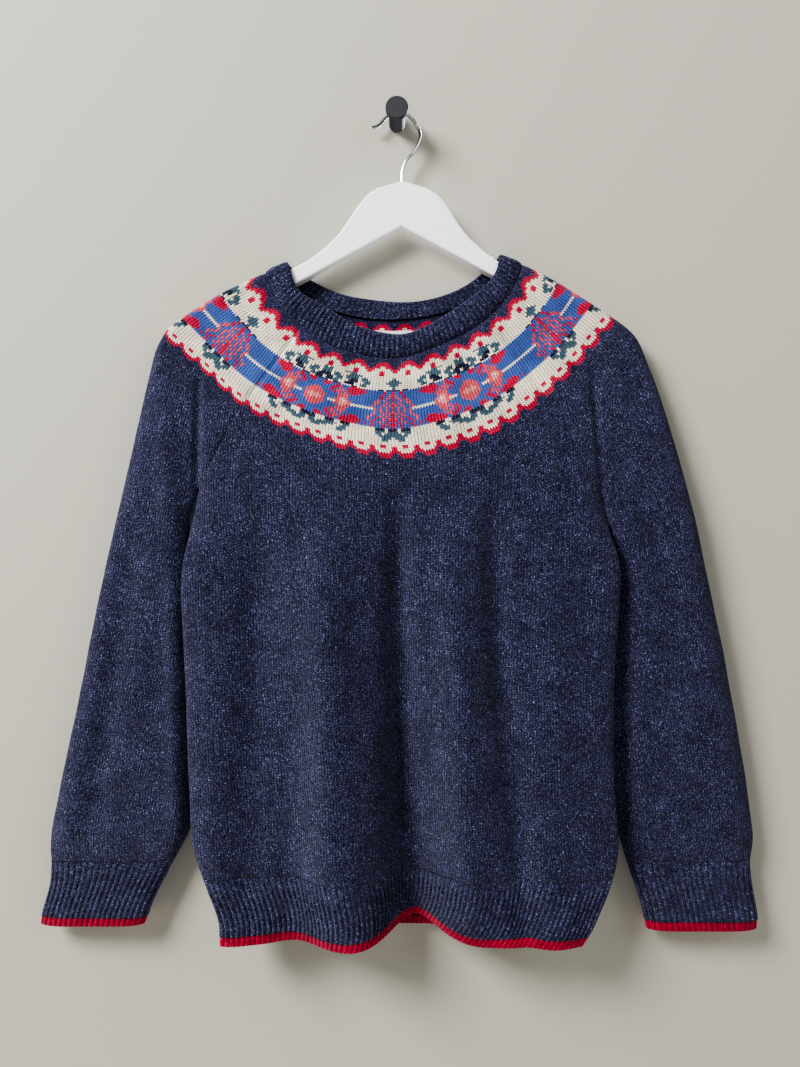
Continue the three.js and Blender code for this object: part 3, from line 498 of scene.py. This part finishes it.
def wool(name, base, light, dark, sheen, chart=False, flecks=1.0, bump=1.0):
    """Matt mixed wool: base colour with light and dark fibres, stitches with painted shade in their
    hollows, and a soft sheen.
    """
    material, tree, shader = new_material(name)
    stitch = add_node(tree, "ShaderNodeGroup", node_tree=stitches)
    fibre = add_node(tree, "ShaderNodeGroup", node_tree=heather)
    chance = stitch.outputs["Chance"]
    colour = base
    amount = flecks
    if chart:
        colour = add_node(tree, "ShaderNodeVertexColor", layer_name="chart").outputs[0]
        bright = add_node(tree, "ShaderNodeRGBToBW", {0: colour}).outputs[0]
        amount = add_node(tree, "ShaderNodeMapRange", {0: bright, 1: 0.02, 2: 0.09, 3: 1.0,
                          4: flecks}).outputs[0]
    many = calc(tree, "MULTIPLY", calc(tree, "MULTIPLY_ADD", chance, 0.6, 0.25),
                fibre.outputs["Light"])
    lighter = calc(tree, "MULTIPLY", calc(tree, "MULTIPLY", many, light[3]), amount)
    colour = colour_mix(tree, lighter, colour, (*light[:3], 1))
    few = calc(tree, "MULTIPLY", calc(tree, "MULTIPLY_ADD", chance, -0.5, 1.0),
               fibre.outputs["Dark"])
    darker = calc(tree, "MULTIPLY", calc(tree, "MULTIPLY", few, dark[3]), amount)
    colour = colour_mix(tree, darker, colour, (*dark[:3], 1))
    # Painted shade: the colour darkens down to a tenth in the hollows between and within the
    # stitches, where their height is low.
    depth = add_node(tree, "ShaderNodeMapRange", {0: stitch.outputs["Height"], 1: 0.0, 2: 0.9,
                     3: 0.1, 4: 1.0})
    colour = colour_mix(tree, 1.0, colour, depth.outputs[0], "MULTIPLY")
    cloud = add_node(tree, "ShaderNodeMapRange", {0: fibre.outputs["Cloud"], 3: 0.82, 4: 1.18})
    colour = colour_mix(tree, 1.0, colour, cloud.outputs[0], "MULTIPLY")
    relief = calc(tree, "MULTIPLY_ADD", fibre.outputs["Light"], 0.4, stitch.outputs["Height"])
    normal = add_node(tree, "ShaderNodeBump", {"Strength": bump, "Distance": 0.001,
                      "Height": relief})
    tree.links.new(colour, shader.inputs["Base Color"])
    tree.links.new(normal.outputs[0], shader.inputs["Normal"])
    shader.inputs["Roughness"].default_value = 0.95
    shader.inputs["Specular IOR Level"].default_value = 0.12
    shader.inputs["Sheen Weight"].default_value = sheen
    shader.inputs["Sheen Roughness"].default_value = 0.5
    shader.inputs["Sheen Tint"].default_value = (0.75, 0.77, 0.9, 1)
    return material


NAVY = (0.041, 0.041, 0.104, 1)
LIGHT_FIBRE = (0.4, 0.41, 0.7, 1.0)
DARK_FIBRE = (0.004, 0.0045, 0.014, 0.9)
navy_wool = wool("Navy heather wool", NAVY, LIGHT_FIBRE, DARK_FIBRE, 0.16)
RED = (0.5, 0.012, 0.045, 1)
red_wool = wool("Red wool", RED, (0.8, 0.13, 0.2, 0.6), (0.12, 0.003, 0.01, 0.6), 0.16, bump=0.8)
chart_wool = wool("Yoke wool", NAVY, LIGHT_FIBRE, DARK_FIBRE, 0.12, chart=True, flecks=0.12,
                  bump=0.9)


def finish_cloth(piece, material, node):
    """Gives a piece its wool and its body, and hides the node that it replaces."""
    piece.data.materials.append(material)
    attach(piece, "root")
    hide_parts(node)


# Yoke: a ring of stranded stocking stitch from the neckband to the scalloped edge. Each stitch
# is two slanting quads, coloured by drawn charts; each band has its own stitch count.
WOOLS = {
    "n": NAVY[:3], "r": (0.64, 0.03, 0.075), "w": (0.97, 0.87, 0.71), "t": (0.085, 0.15, 0.19),
    "d": (0.014, 0.024, 0.048), "b": (0.085, 0.15, 0.44), "c": (0.78, 0.12, 0.15),
    "p": (0.88, 0.36, 0.33),
}
NECK_SCALLOPS = [
    "nnnnnnnnnn",
    "nnnnnnnnnn",
    "nnnnnnnnnn",
    "nnnrrrrnnn",
    "nnrrrrrrnn",
    "nrrrwwrrrn",
    "rrwwwwwwrr",
    "rwwwrrwwwr",
    "wwwwrrwwww",
]
UPPER_SPRIGS = [
    "wwwwwwwwwwwwwttttwwwwtw",
    "twwwwwwwwwwttttwwwwwwtt",
    "ttwwwwwwwttwttttwwttwtt",
    "tttwwwwwtttwddttwtttwdd",
    "ttwwwwwwttwwdddwwttwddd",
    "twwwwwwwwttwwdddwwttddw",
]
TREES_AND_FLOWERS = [
    "dddwddwwwwwwwwddwwwwdddwwddd",
    "rbbrbbbbbbbrrrrrbbbbrbbrrrbb",
    "rbbrbbbbbbrrrrrrrbbcrrbbrrbb",
    "rcbbrbbbbbbrrrrrrbccbrrbbbbb",
    "rbcbrbbbbbbbbrrrbcbccbrbbbbb",
    "rbbcbcbbbbbbbbbbccccbrbbbbcc",
    "cbcbbccbbbbbbbbbccccbbbbbccc",
    "rcbcbbcbbbbbbbbbcppcbbbbcccc",
    "cbcbcbbcbbbbbbbcpwpccbbbccpc",
    "rbcbcbcwwwwwwwwcpppcwwwbcppp",
    "cbcbcbcbbbbbbbbccppccbbbccpc",
    "rcbcbbcbbbbbbbbbcccbbbbbcccc",
    "rbcbcbbcbbbbbbbbccccbbbbbccc",
    "rcbcbrbbcbbbbbbbbccbcrbbbbcc",
    "rrbcbbrbcbbbrrrbbcbccbrbbbbb",
    "rbrbcbbrbbbrrrrrrbccbrrbbbbb",
    "rrbrbbrbbrbrrrrrrrbcrrbbrrbb",
    "rbbrbbbrbbbbrrrrrrbbrbbrrrbb",
    "ddwdddwwwwwwwwdddwwdddwwwddd",
]
LOWER_SPRIGS = [
    "ttwtttwwwwwwwwttwwttttwwwddd",
    "tttwttwwwwwwwwwttwwtttttwttw",
    "tttttwwwwwwwwwwtttwwwttttttw",
    "wtttwwwwwwwwwwwwttwwwwwtttww",
    "wwttwwwwwwwwwwwwwwwwwwwwwwww",
    "wwwwwwwwwwwwwwwwwwwwwwwwwwww",
]
EDGE_SCALLOPS = [
    "wwwrrwww",
    "rwwrrwwr",
    "rwwwwwwr",
    "rrwwwwrr",
    "nrrrrrrn",
    "nnrrrrnn",
]
BANDS = [
    {"rows": NECK_SCALLOPS, "repeats": 28, "seam_at": None, "plain": ""},
    {"rows": UPPER_SPRIGS, "repeats": 5, "seam_at": 38, "plain": "wwwwww"},
    {"rows": TREES_AND_FLOWERS, "repeats": 5, "seam_at": 46, "plain": "wbbbbbbbbwbbbbbbbbw"},
    {"rows": LOWER_SPRIGS, "repeats": 5, "seam_at": 46, "plain": "wwwwww"},
    {"rows": EDGE_SCALLOPS, "repeats": 46, "seam_at": None, "plain": ""},
]
SEAM_COLUMNS = 7
FRONT_SHARE = 0.525
YOKE_ROWS = sum(len(band["rows"]) for band in BANDS)
LEAN = 0.93
KNIT_THICK = 2.2
NECK_DIP = 1.6
DIP_ROWS = 1.6


def yoke_places(face, across, down):
    """Front-view places of the yoke: across and down are shares, one of each for every point."""
    top = curve_by_length(SEAMS[f"neck {face}"], across)
    bottom = curve_by_length(SEAMS[f"yoke {face}"], across)
    ends = {}
    for side, row in (("left", 0), ("right", -1)):
        z = mix(SEAMS["neck front"]["z"][row], SEAMS["yoke front"]["z"][row], down)
        ends[side] = np.column_stack([look_up(EDGES[f"outer {side}"], z, "x"), z])
    u = across[:, None]
    v = down[:, None]
    neck = np.column_stack([SEAMS["neck front"]["x"], SEAMS["neck front"]["z"]])
    edge = np.column_stack([SEAMS["yoke front"]["x"], SEAMS["yoke front"]["z"]])
    corners = (mix(neck[0], neck[-1], u) * (1 - v) + mix(edge[0], edge[-1], u) * v)
    return mix(top, bottom, v) + mix(ends["left"], ends["right"], u) - corners


def yoke_surface(around, down):
    """Points of the yoke's outer face; around is the share of the whole ring."""
    around = np.mod(around, 1)
    on_front = around < FRONT_SHARE
    across = np.where(on_front, around / FRONT_SHARE, (1 - around) / (1 - FRONT_SHARE))
    points = np.zeros((len(around), 3))
    for face, chosen in (("front", on_front), ("back", ~on_front)):
        flat = yoke_places(face, across[chosen], down[chosen])
        points[chosen] = raised(face, "body", flat)
    return points


def chart_colours(band):
    """Colours of a band's stitches, row by row; plain columns widen it at the four raglan seams."""
    rows = band["rows"]
    if band["plain"]:
        rows = [text + text[-2:0:-1] for text in rows]
    table = np.array([[WOOLS[letter] for letter in text] for text in rows])
    width = len(rows[0])
    count = width * band["repeats"] + (4 * SEAM_COLUMNS if band["plain"] else 0)
    off = np.arange(count) - int(round(count * FRONT_SHARE / 2))
    off = np.where(off > count / 2, off - count, off)
    if not band["plain"]:
        return table[:, off % width]
    off = np.abs(off)
    seam_starts = np.array([band["seam_at"], count / 2 - band["seam_at"]])[:, None]
    seams_passed = (off >= seam_starts).sum(axis=0)
    in_seam = ((off >= seam_starts) & (off < seam_starts + SEAM_COLUMNS)).any(axis=0)
    colours = table[:, (off - SEAM_COLUMNS * seams_passed) % width]
    colours[:, in_seam] = np.array([WOOLS[letter] for letter in band["plain"]])[:, None]
    return colours


yoke_points = []
yoke_faces = []
yoke_uv = []
yoke_colours = []
row_above = 0
for band in BANDS:
    colours = chart_colours(band)
    rows, count = colours.shape[:2]
    line = np.arange(rows + 1)[:, None]
    column = np.arange(2 * count + 1)[None, :]
    lean = np.where(column % 2 == 0, LEAN, 0) * ((line > 0) & (line < rows))
    down = (row_above + line - lean) / YOKE_ROWS
    around = np.repeat(column / 2 / count, rows + 1, axis=0)
    outer = yoke_surface(around.ravel(), down.ravel()).reshape(rows + 1, -1, 3)
    outer = outer - outward(outer) * (NECK_DIP * np.exp(-down * YOKE_ROWS / DIP_ROWS))[..., None]
    inner = outer[:, ::2] - outward(outer)[:, ::2] * KNIT_THICK
    uv = np.stack([around * count, down * YOKE_ROWS], axis=-1)
    for layer, step, facing in ((outer, 2, 1), (inner, 1, -1)):
        first = sum(len(part) for part in yoke_points)
        width = layer.shape[1]
        top_left = first + (np.arange(rows)[:, None] * width + np.arange(width - 1)[None, :])
        quads = np.stack([top_left, top_left + width, top_left + width + 1, top_left + 1], axis=-1)
        layer_uv = uv if step == 2 else uv[:, ::2]
        uv_quads = np.stack([layer_uv[:-1, :-1], layer_uv[1:, :-1], layer_uv[1:, 1:],
                             layer_uv[:-1, 1:]], axis=2)
        if facing < 0:
            quads = quads[..., ::-1]
            uv_quads = uv_quads[:, :, ::-1]
        yoke_points.append(layer.reshape(-1, 3))
        yoke_faces.append(quads.reshape(-1, 4))
        yoke_uv.append(uv_quads.reshape(-1, 2))
        yoke_colours.append(np.repeat(colours, step, axis=1).reshape(-1, 3))
    row_above += rows
points = np.concatenate(yoke_points) * MM
faces = np.concatenate(yoke_faces)
mesh = bpy.data.meshes.new("yoke_knit")
mesh.from_pydata(points.tolist(), [], faces.tolist())
mesh.uv_layers.new(name="UVMap").data.foreach_set("uv", np.concatenate(yoke_uv).ravel())
chart = mesh.color_attributes.new("chart", "FLOAT_COLOR", "CORNER")
corner_colours = np.repeat(np.concatenate(yoke_colours), 4, axis=0)
chart.data.foreach_set("color", np.column_stack([corner_colours,
                       np.ones(len(corner_colours))]).ravel())
bm = bmesh.new()
bm.from_mesh(mesh)
bmesh.ops.remove_doubles(bm, verts=bm.verts, dist=WELD)
bm.to_mesh(mesh)
bm.free()
mesh.shade_smooth()
yoke = bpy.data.objects.new("yoke_knit", mesh)
bpy.context.scene.collection.objects.link(yoke)
finish_cloth(yoke, chart_wool, "yoke")

# Front and back: plain stocking stitch between the raglan seams, the side edges and the welt,
# with the photo's soft folds.
STITCH = {"wide": 2.9, "tall": 2.35}
RAGLAN_ROWS = 46
BODY_GRID = {"columns": 168, "raglan_share": 5 / 14, "low_rows": 96}
SLEEVE_GRID = {"columns": 60, "raglan_share": 5 / 16, "low_rows": 110}


def rows_down(grid):
    """Shares from top to bottom, with the shares run through above and below the underarm."""
    at = grid["raglan_share"]
    low_rows = np.linspace(at, 1, grid["low_rows"])
    down = np.concatenate([np.linspace(0, at, RAGLAN_ROWS), low_rows[1:]])
    return down, down <= at, share_of(down / at), share_of((down - at) / (1 - at))


for face in ("front", "back"):
    across = crowded(BODY_GRID["columns"])
    down, above, high, low = rows_down(BODY_GRID)
    edge_rows = mix(RAGLAN_AT["left"], RAGLAN_AT["right"], across)
    top = curve(SEAMS[f"yoke {face}"], edge_rows)
    borders = {}
    for side, start in (("left", top[0]), ("right", top[-1])):
        name = f"side {side}"
        underarm = np.array([EDGES[name]["x"][0], EDGES[name]["z"][0]])
        raglan = mix(start, underarm, high[:, None])
        side_edge = along_edge(name, mix(underarm[1], WELT_TOP, low))
        borders[side] = np.where(above[:, None], raglan, side_edge)
    bottom = mix(borders["left"][-1], borders["right"][-1], across[:, None])
    flat = coons(top, bottom, borders["left"], borders["right"], across, down)
    points = raised(face, "body", flat)
    if face == "back":
        points = points[:, ::-1]
    points = uneven(points)
    piece = thicken(grid_object(f"{face}_knit", points,
                                stitch_map(points, STITCH["wide"], STITCH["tall"])), KNIT_THICK)
    finish_cloth(piece, navy_wool, face)

# Sleeves: each is one sheet, open along its two raglan seams and a tube below the underarm.
# They taper to the cuffs and tuck in behind the body's sides.
SHOULDER_AT = {"left": 0, "right": 10}
for side in ("left", "right"):
    across = crowded(SLEEVE_GRID["columns"], 0.4)
    down, above, high, low = rows_down(SLEEVE_GRID)
    underarm = np.array([EDGES[f"side {side}"]["x"][0], EDGES[f"side {side}"]["z"][0]])
    halves = {}
    for face in ("front", "back"):
        top = curve(SEAMS[f"yoke {face}"], mix(SHOULDER_AT[side], RAGLAN_AT[side], across))
        raglan = mix(top[-1], underarm, high[:, None])
        low_z = mix(underarm[1], CUFF_TOP, low)
        inner = np.where(above[:, None], raglan, along_edge(f"inner {side}", low_z))
        outer_z = np.where(above, mix(top[0][1], underarm[1], high), low_z)
        outer = along_edge(f"outer {side}", outer_z)
        bottom = mix(outer[-1], inner[-1], across[:, None])
        halves[face] = raised(face, "sleeve", coons(top, bottom, outer, inner, across, down))
    first, second = ("back", "front") if side == "left" else ("front", "back")
    points = uneven(np.concatenate([halves[first][:, ::-1], halves[second][:, 1:]], axis=1))
    tube_rows = slice(RAGLAN_ROWS - 1, None)
    seam = (points[tube_rows, 0] + points[tube_rows, -1]) / 2
    points[tube_rows, 0] = seam
    points[tube_rows, -1] = seam
    piece = grid_object(f"sleeve_{side}_knit", points,
                        stitch_map(points, STITCH["wide"], STITCH["tall"]), tube=True)
    finish_cloth(thicken(piece, KNIT_THICK), navy_wool, f"sleeve_{side}")


# Ribs: one stitch out and one in. A ribbed sheet keeps its grooves on the cloth's own outer face
# and swells over each rib; the neckband and the tips add a rounded edge and an inner face.
RIB = {"thick": 2.0, "rise": 1.4, "fade": 16, "points": 6}
TIP = {"thick": 3.0, "rise": 0.7, "round": 1.5}


def rib_columns(ribs):
    """The rib count at each column of points."""
    return np.arange(ribs * RIB["points"] + 1) / RIB["points"]


def rib_swell(columns, rise):
    """How far the ribs stand out at each column."""
    return rise * (0.5 - 0.5 * np.cos(2 * np.pi * columns)) ** 0.7


def ribbed(sheet, columns):
    """The sheet with its ribs, which rise from nothing over its first millimetres."""
    grown = ease(run_lengths(sheet)[:, :1] / RIB["fade"])
    return sheet + outward(sheet) * (grown * rib_swell(columns, RIB["rise"])[None])[..., None]


def spread_evenly(points, shares):
    """A grid's points moved along each row to even shares of the row's length."""
    result = []
    for row in points:
        lengths = run_lengths(row)
        at = shares * lengths[-1]
        result.append(np.column_stack([np.interp(at, lengths, row[:, k]) for k in range(3)]))
    return np.array(result)


def rib_map(points, columns):
    """The UV map of a ribbed grid: ribs across and rows down."""
    down = run_lengths(points)[:, :1] / STITCH["tall"]
    return np.stack([np.repeat(columns[None], len(points), axis=0),
                     np.repeat(down, len(columns), axis=1)], axis=-1)


def rolled_edge(points, columns):
    """Rows down the outer face, round the bottom and up the inner face of a thick edge."""
    normals = outward(points)
    swell = rib_swell(columns, TIP["rise"])[:, None]
    downward = points[-1] - points[-2]
    downward = downward / np.linalg.norm(downward, axis=-1, keepdims=True)
    reach = TIP["thick"] / 2
    rows = [points[j] + normals[j] * swell for j in range(len(points))]
    for angle in np.linspace(15, 165, 7):
        turn = math.radians(angle)
        rows.append(points[-1] + normals[-1] * ((reach + swell) * math.cos(turn) - reach)
                    + downward * (reach * math.sin(turn)))
    rows += [point - normal * (TIP["thick"] + swell * 0.5)
             for point, normal in zip(points[::-1], normals[::-1])]
    return np.array(rows)


def rib_and_tip(cloth, tip_cloth, where, sheet, edge, tube=False):
    """A welt or cuff and its rolled red tip, from grids of their outer faces."""
    place = f"{cloth}_{where}"
    tip_place = f"{tip_cloth}_{where}"
    columns = rib_columns((sheet.shape[1] - 1) // RIB["points"])
    sheet = ribbed(uneven(sheet), columns)
    rib = grid_object(f"{place}_rib", sheet, rib_map(sheet, columns), tube)
    rolled = rolled_edge(edge, columns)
    tip = grid_object(f"{tip_place}_roll", rolled, rib_map(rolled, columns), tube)
    finish_cloth(tip, red_wool, tip_place)
    finish_cloth(thicken(rib, RIB["thick"]), navy_wool, place)


# Neckband: a doubled 1x1 rib, folded over at the top edge.
BAND = {"thick": 4.0, "rise": 1.3, "plump": 2.0, "inset": 0.3, "lift": 3.5, "calm": 0.3,
        "calm_run": 0.16}
BAND_RIBS = {"front": 62, "back": 48}
down = np.linspace(0, 1, 15)
halves = {}
counts = {}
proud = {}
for face in ("front", "back"):
    columns = rib_columns(BAND_RIBS[face])
    shares = columns / BAND_RIBS[face]
    top = curve_by_length(SEAMS[f"band {face}"], shares)
    if face == "front":
        top[:, 1] += BAND["lift"] * (1 - (2 * shares - 1) ** 2)
    from_end = np.minimum(shares, 1 - shares) if face == "front" else 0 * shares
    proud[face] = BAND["calm"] + (1 - BAND["calm"]) * ease(from_end / BAND["calm_run"])
    seam = curve_by_length(SEAMS[f"neck {face}"], shares)
    flat = mix(top[None], seam[None], down[:, None, None])
    halves[face] = raised(face, "body", flat)
    counts[face] = columns
ring = np.concatenate([halves["front"], halves["back"][:, ::-1][:, 1:]], axis=1)
columns = np.concatenate([counts["front"], counts["front"][-1] + counts["back"][1:]])
proud = np.concatenate([proud["front"], proud["back"][1:]])[:, None]
normals = outward(np.concatenate([ring[:, -2:-1], ring, ring[:, 1:2]], axis=1))[:, 1:-1]
swell = rib_swell(columns, BAND["rise"])[:, None] * proud
upward = ring[0] - ring[1]
upward = upward / np.linalg.norm(upward, axis=-1, keepdims=True)
plump = BAND["plump"] * np.sqrt(1 - (2 * down - 1) ** 2) - NECK_DIP * down**6
band_rows = [ring[j] + normals[j] * (swell - BAND["inset"] + plump[j] * proud)
             for j in range(len(down) - 1, 0, -1)]
reach = BAND["thick"] / 2
for angle in np.linspace(20, 160, 6):
    turn = math.radians(angle)
    out = (reach + swell) * math.cos(turn) - reach
    band_rows.append(ring[1] + normals[1] * out + upward * (reach * math.sin(turn)))
band_rows += [ring[j] - normals[j] * (BAND["thick"] + swell * 0.6) for j in range(1, len(down))]
points = np.array(band_rows)[::-1]
neckband = grid_object("neckband_rib", points[::-1], rib_map(points, columns)[::-1], tube=True)
finish_cloth(neckband, navy_wool, "neckband")

# Welts and hem tips: 1x1 rib below the front and back, ending in a rolled red edge.
HEM_LIFT = {"x": 18, "rise": 13, "width": 34, "side_run": 26}
WELT_RIBS = 82
RIB_ROWS = 19
TIP_ROWS = 4


def hem_points(face, shares, zs):
    """Points of the hem's outer face at shares across and heights down."""
    z = np.repeat(zs[:, None], len(shares), axis=1)
    left = look_up(EDGES["side left"], z, "x")
    right = look_up(EDGES["side right"], z, "x")
    x = mix(left, right, shares[None])
    points = raised(face, "body", np.stack([x, z], axis=-1))
    if face == "front":
        lift = HEM_LIFT["rise"] * np.exp(-(((x - HEM_LIFT["x"]) / HEM_LIFT["width"]) ** 2))
        grown = share_of((WELT_TOP - z) / (WELT_TOP - WELT_BOTTOM))
        from_side = np.minimum(x - left, right - x)
        points[..., 2] += lift * roundness(from_side, HEM_LIFT["side_run"]) * grown
    return points


shares = rib_columns(WELT_RIBS) / WELT_RIBS
for face in ("front", "back"):
    sheet_z = np.linspace(WELT_TOP, WELT_BOTTOM, RIB_ROWS)
    edge_z = np.linspace(WELT_BOTTOM, HEM + TIP["round"], TIP_ROWS)
    sheet, edge = (spread_evenly(hem_points(face, crowded(200), zs), shares)
                   for zs in (sheet_z, edge_z))
    if face == "back":
        sheet = sheet[:, ::-1]
        edge = edge[:, ::-1]
    rib_and_tip("welt", "hem_tip", face, sheet, edge)

# Cuffs and cuff tips: 1x1 rib tubes that draw the sleeve in, ending in a rolled red edge.
CUFF_RIBS = 42
CUFF_ENDS = {"left": {"bottom": -825, "tip": -834}, "right": {"bottom": -829, "tip": -839}}


def cuff_points(side, zs):
    """Points round the cuff's outer face at heights down."""
    rows = []
    for z in zs:
        inner = np.array([look_up(EDGES[f"inner {side}"], z, "x"), z], float)
        outer = np.array([look_up(EDGES[f"outer {side}"], z, "x"), z], float)
        flat = mix(outer, inner, crowded(60)[:, None])[None]
        front = raised("front", "sleeve", flat)[0]
        back = raised("back", "sleeve", flat)[0]
        loop = [back[::-1], front[1:]] if side == "left" else [front[::-1], back[1:]]
        rows.append(np.concatenate(loop))
    return np.array(rows)


shares = rib_columns(CUFF_RIBS) / CUFF_RIBS
for side in ("left", "right"):
    ends = CUFF_ENDS[side]
    sheet_z = np.linspace(CUFF_TOP, ends["bottom"], RIB_ROWS)
    edge_z = np.linspace(ends["bottom"], ends["tip"] + TIP["round"], TIP_ROWS)
    sheet, edge = (spread_evenly(cuff_points(side, zs), shares) for zs in (sheet_z, edge_z))
    rib_and_tip("cuff", "cuff_tip", side, sheet, edge, tube=True)


# The label, the hanger, the hook and the peg keep the solids of the frame; each gets its look.
def dress(node, material):
    """Gives a node of the frame its material."""
    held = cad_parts[node].data
    held.materials.clear()
    held.materials.append(material)


def fine_bumps(tree, shader, height, strength, distance):
    """Fine bumps from a pattern's height; distance in metres."""
    normal = add_node(tree, "ShaderNodeBump", {"Strength": strength, "Distance": distance,
                      "Height": height})
    tree.links.new(normal.outputs[0], shader.inputs["Normal"])


# Neck label: a bare woven strip behind the neckband.
label_cloth, tree, shader = new_material("Label cloth")
where = add_node(tree, "ShaderNodeTexCoord").outputs["Object"]
weave = add_node(tree, "ShaderNodeTexWave", {"Vector": where, "Scale": 900.0}, bands_direction="Z")
colour = colour_mix(tree, weave.outputs[1], (0.78, 0.77, 0.74, 1), (0.86, 0.85, 0.82, 1))
tree.links.new(colour, shader.inputs["Base Color"])
fine_bumps(tree, shader, weave.outputs[1], 0.4, 0.0002)
shader.inputs["Roughness"].default_value = 0.6
dress("neck_label", label_cloth)

# Hanger: white satin paint over wood, with faint grain under the paint.
white_paint, tree, shader = new_material("White satin paint")
where = add_node(tree, "ShaderNodeTexCoord").outputs["Object"]
stretched = add_node(tree, "ShaderNodeMapping", {0: where, 3: (20, 300, 300)})
grain = add_node(tree, "ShaderNodeTexNoise", {"Vector": stretched.outputs[0], "Scale": 4.0,
                 "Detail": 4.0})
colour = colour_mix(tree, grain.outputs[0], (0.88, 0.87, 0.89, 1), (0.94, 0.93, 0.95, 1))
tree.links.new(colour, shader.inputs["Base Color"])
fine_bumps(tree, shader, grain.outputs[0], 0.15, 0.0003)
shader.inputs["Roughness"].default_value = 0.38
dress("hanger", white_paint)

# Hook: polished steel wire, finely drawn along its length.
steel, tree, shader = new_material("Hook wire")
where = add_node(tree, "ShaderNodeTexCoord").outputs["Object"]
scuffs = add_node(tree, "ShaderNodeTexNoise", {"Vector": where, "Scale": 400.0, "Detail": 3.0})
rough = add_node(tree, "ShaderNodeMapRange", {0: scuffs.outputs[0], 3: 0.18, 4: 0.4})
tree.links.new(rough.outputs[0], shader.inputs["Roughness"])
shader.inputs["Base Color"].default_value = (0.5, 0.5, 0.51, 1)
shader.inputs["Metallic"].default_value = 1.0
dress("hanger_hook", steel)
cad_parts["hanger_hook"].data.shade_smooth()

# Peg: matt black powder coat with its fine grain.
powder, tree, shader = new_material("Black powder coat")
where = add_node(tree, "ShaderNodeTexCoord").outputs["Object"]
grain = add_node(tree, "ShaderNodeTexNoise", {"Vector": where, "Scale": 2500.0, "Detail": 2.0})
colour = colour_mix(tree, grain.outputs[0], (0.022, 0.023, 0.027, 1), (0.05, 0.052, 0.06, 1))
tree.links.new(colour, shader.inputs["Base Color"])
fine_bumps(tree, shader, grain.outputs[0], 0.4, 0.0001)
shader.inputs["Roughness"].default_value = 0.55
dress("wall_peg", powder)

# Stage: a plain pale wall that shows from the front only and keeps no light off the cloth's back,
# and a plain pale floor far below that shows from above only.
WALL = {"half_width": 2.5, "y": 0.001, "top": 1.6}
FLOOR = {"half_width": 4, "z": -1.01}
STAGE = {
    "wall": {"colour": (0.44, 0.425, 0.365, 1), "shades": False, "corners": [
        (-WALL["half_width"], WALL["y"], FLOOR["z"]), (WALL["half_width"], WALL["y"], FLOOR["z"]),
        (WALL["half_width"], WALL["y"], WALL["top"]), (-WALL["half_width"], WALL["y"], WALL["top"]),
    ]},
    "floor": {"colour": (0.5, 0.49, 0.46, 1), "shades": True, "corners": [
        (x * FLOOR["half_width"], y * FLOOR["half_width"], FLOOR["z"])
        for x, y in ((-1, -1), (1, -1), (1, 1), (-1, 1))
    ]},
}
for name, row in STAGE.items():
    paint, tree, shader = new_material(name)
    shader.inputs["Base Color"].default_value = row["colour"]
    shader.inputs["Roughness"].default_value = 0.9
    behind = add_node(tree, "ShaderNodeNewGeometry").outputs["Backfacing"]
    clear = add_node(tree, "ShaderNodeBsdfTransparent")
    both = add_node(tree, "ShaderNodeMixShader", {0: behind, 1: shader.outputs[0],
                    2: clear.outputs[0]})
    tree.links.new(both.outputs[0], tree.nodes["Material Output"].inputs["Surface"])
    mesh = bpy.data.meshes.new(name)
    mesh.from_pydata(row["corners"], [], [(0, 1, 2, 3)])
    mesh.materials.append(paint)
    flat_piece = bpy.data.objects.new(name, mesh)
    bpy.context.scene.collection.objects.link(flat_piece)
    flat_piece.visible_shadow = row["shades"]
    flat_piece.visible_diffuse = row["shades"]
    flat_piece.visible_glossy = row["shades"]

# Light: a broad soft key from the upper left, a weak fill from the right, a lamp for the back of
# the jumper and a pale surround.
LIGHTS = [
    {"name": "key", "place": (-2.1, -1.8, 1.5), "size": 1.2, "power": 175, "aim": (0, 0, -0.4)},
    {"name": "fill", "place": (2.0, -1.6, 0.6), "size": 1.5, "power": 16, "aim": (0, 0, -0.5)},
    {"name": "back", "place": (0.7, 2.2, 0.9), "size": 1.3, "power": 90, "aim": (0, 0, -0.5)},
]
for row in LIGHTS:
    lamp = bpy.data.lights.new(row["name"], "AREA")
    lamp.energy = row["power"]
    lamp.size = row["size"]
    holder = bpy.data.objects.new(row["name"], lamp)
    bpy.context.scene.collection.objects.link(holder)
    place = Vector(row["place"])
    holder.location = place
    holder.rotation_euler = (Vector(row["aim"]) - place).to_track_quat("-Z", "Y").to_euler()
bpy.context.scene.view_settings.look = "AgX - High Contrast"
world = bpy.data.worlds.new("Studio")
world.use_nodes = True
world.node_tree.nodes["Background"].inputs[0].default_value = (0.95, 0.97, 1, 1)
world.node_tree.nodes["Background"].inputs[1].default_value = 0.15
bpy.context.scene.world = world

# Camera: level, 845 mm in front of the wall, at the height of the chest.
CAMERA_PLACE = (0.0032, -0.845, -0.4315)
camera_data = bpy.data.cameras.new("camera")
camera_data.lens = 27
camera_data.sensor_width = 36
camera = bpy.data.objects.new("camera", camera_data)
camera.location = CAMERA_PLACE
camera.rotation_euler = (math.radians(90), 0, 0)
bpy.context.scene.collection.objects.link(camera)
bpy.context.scene.camera = camera
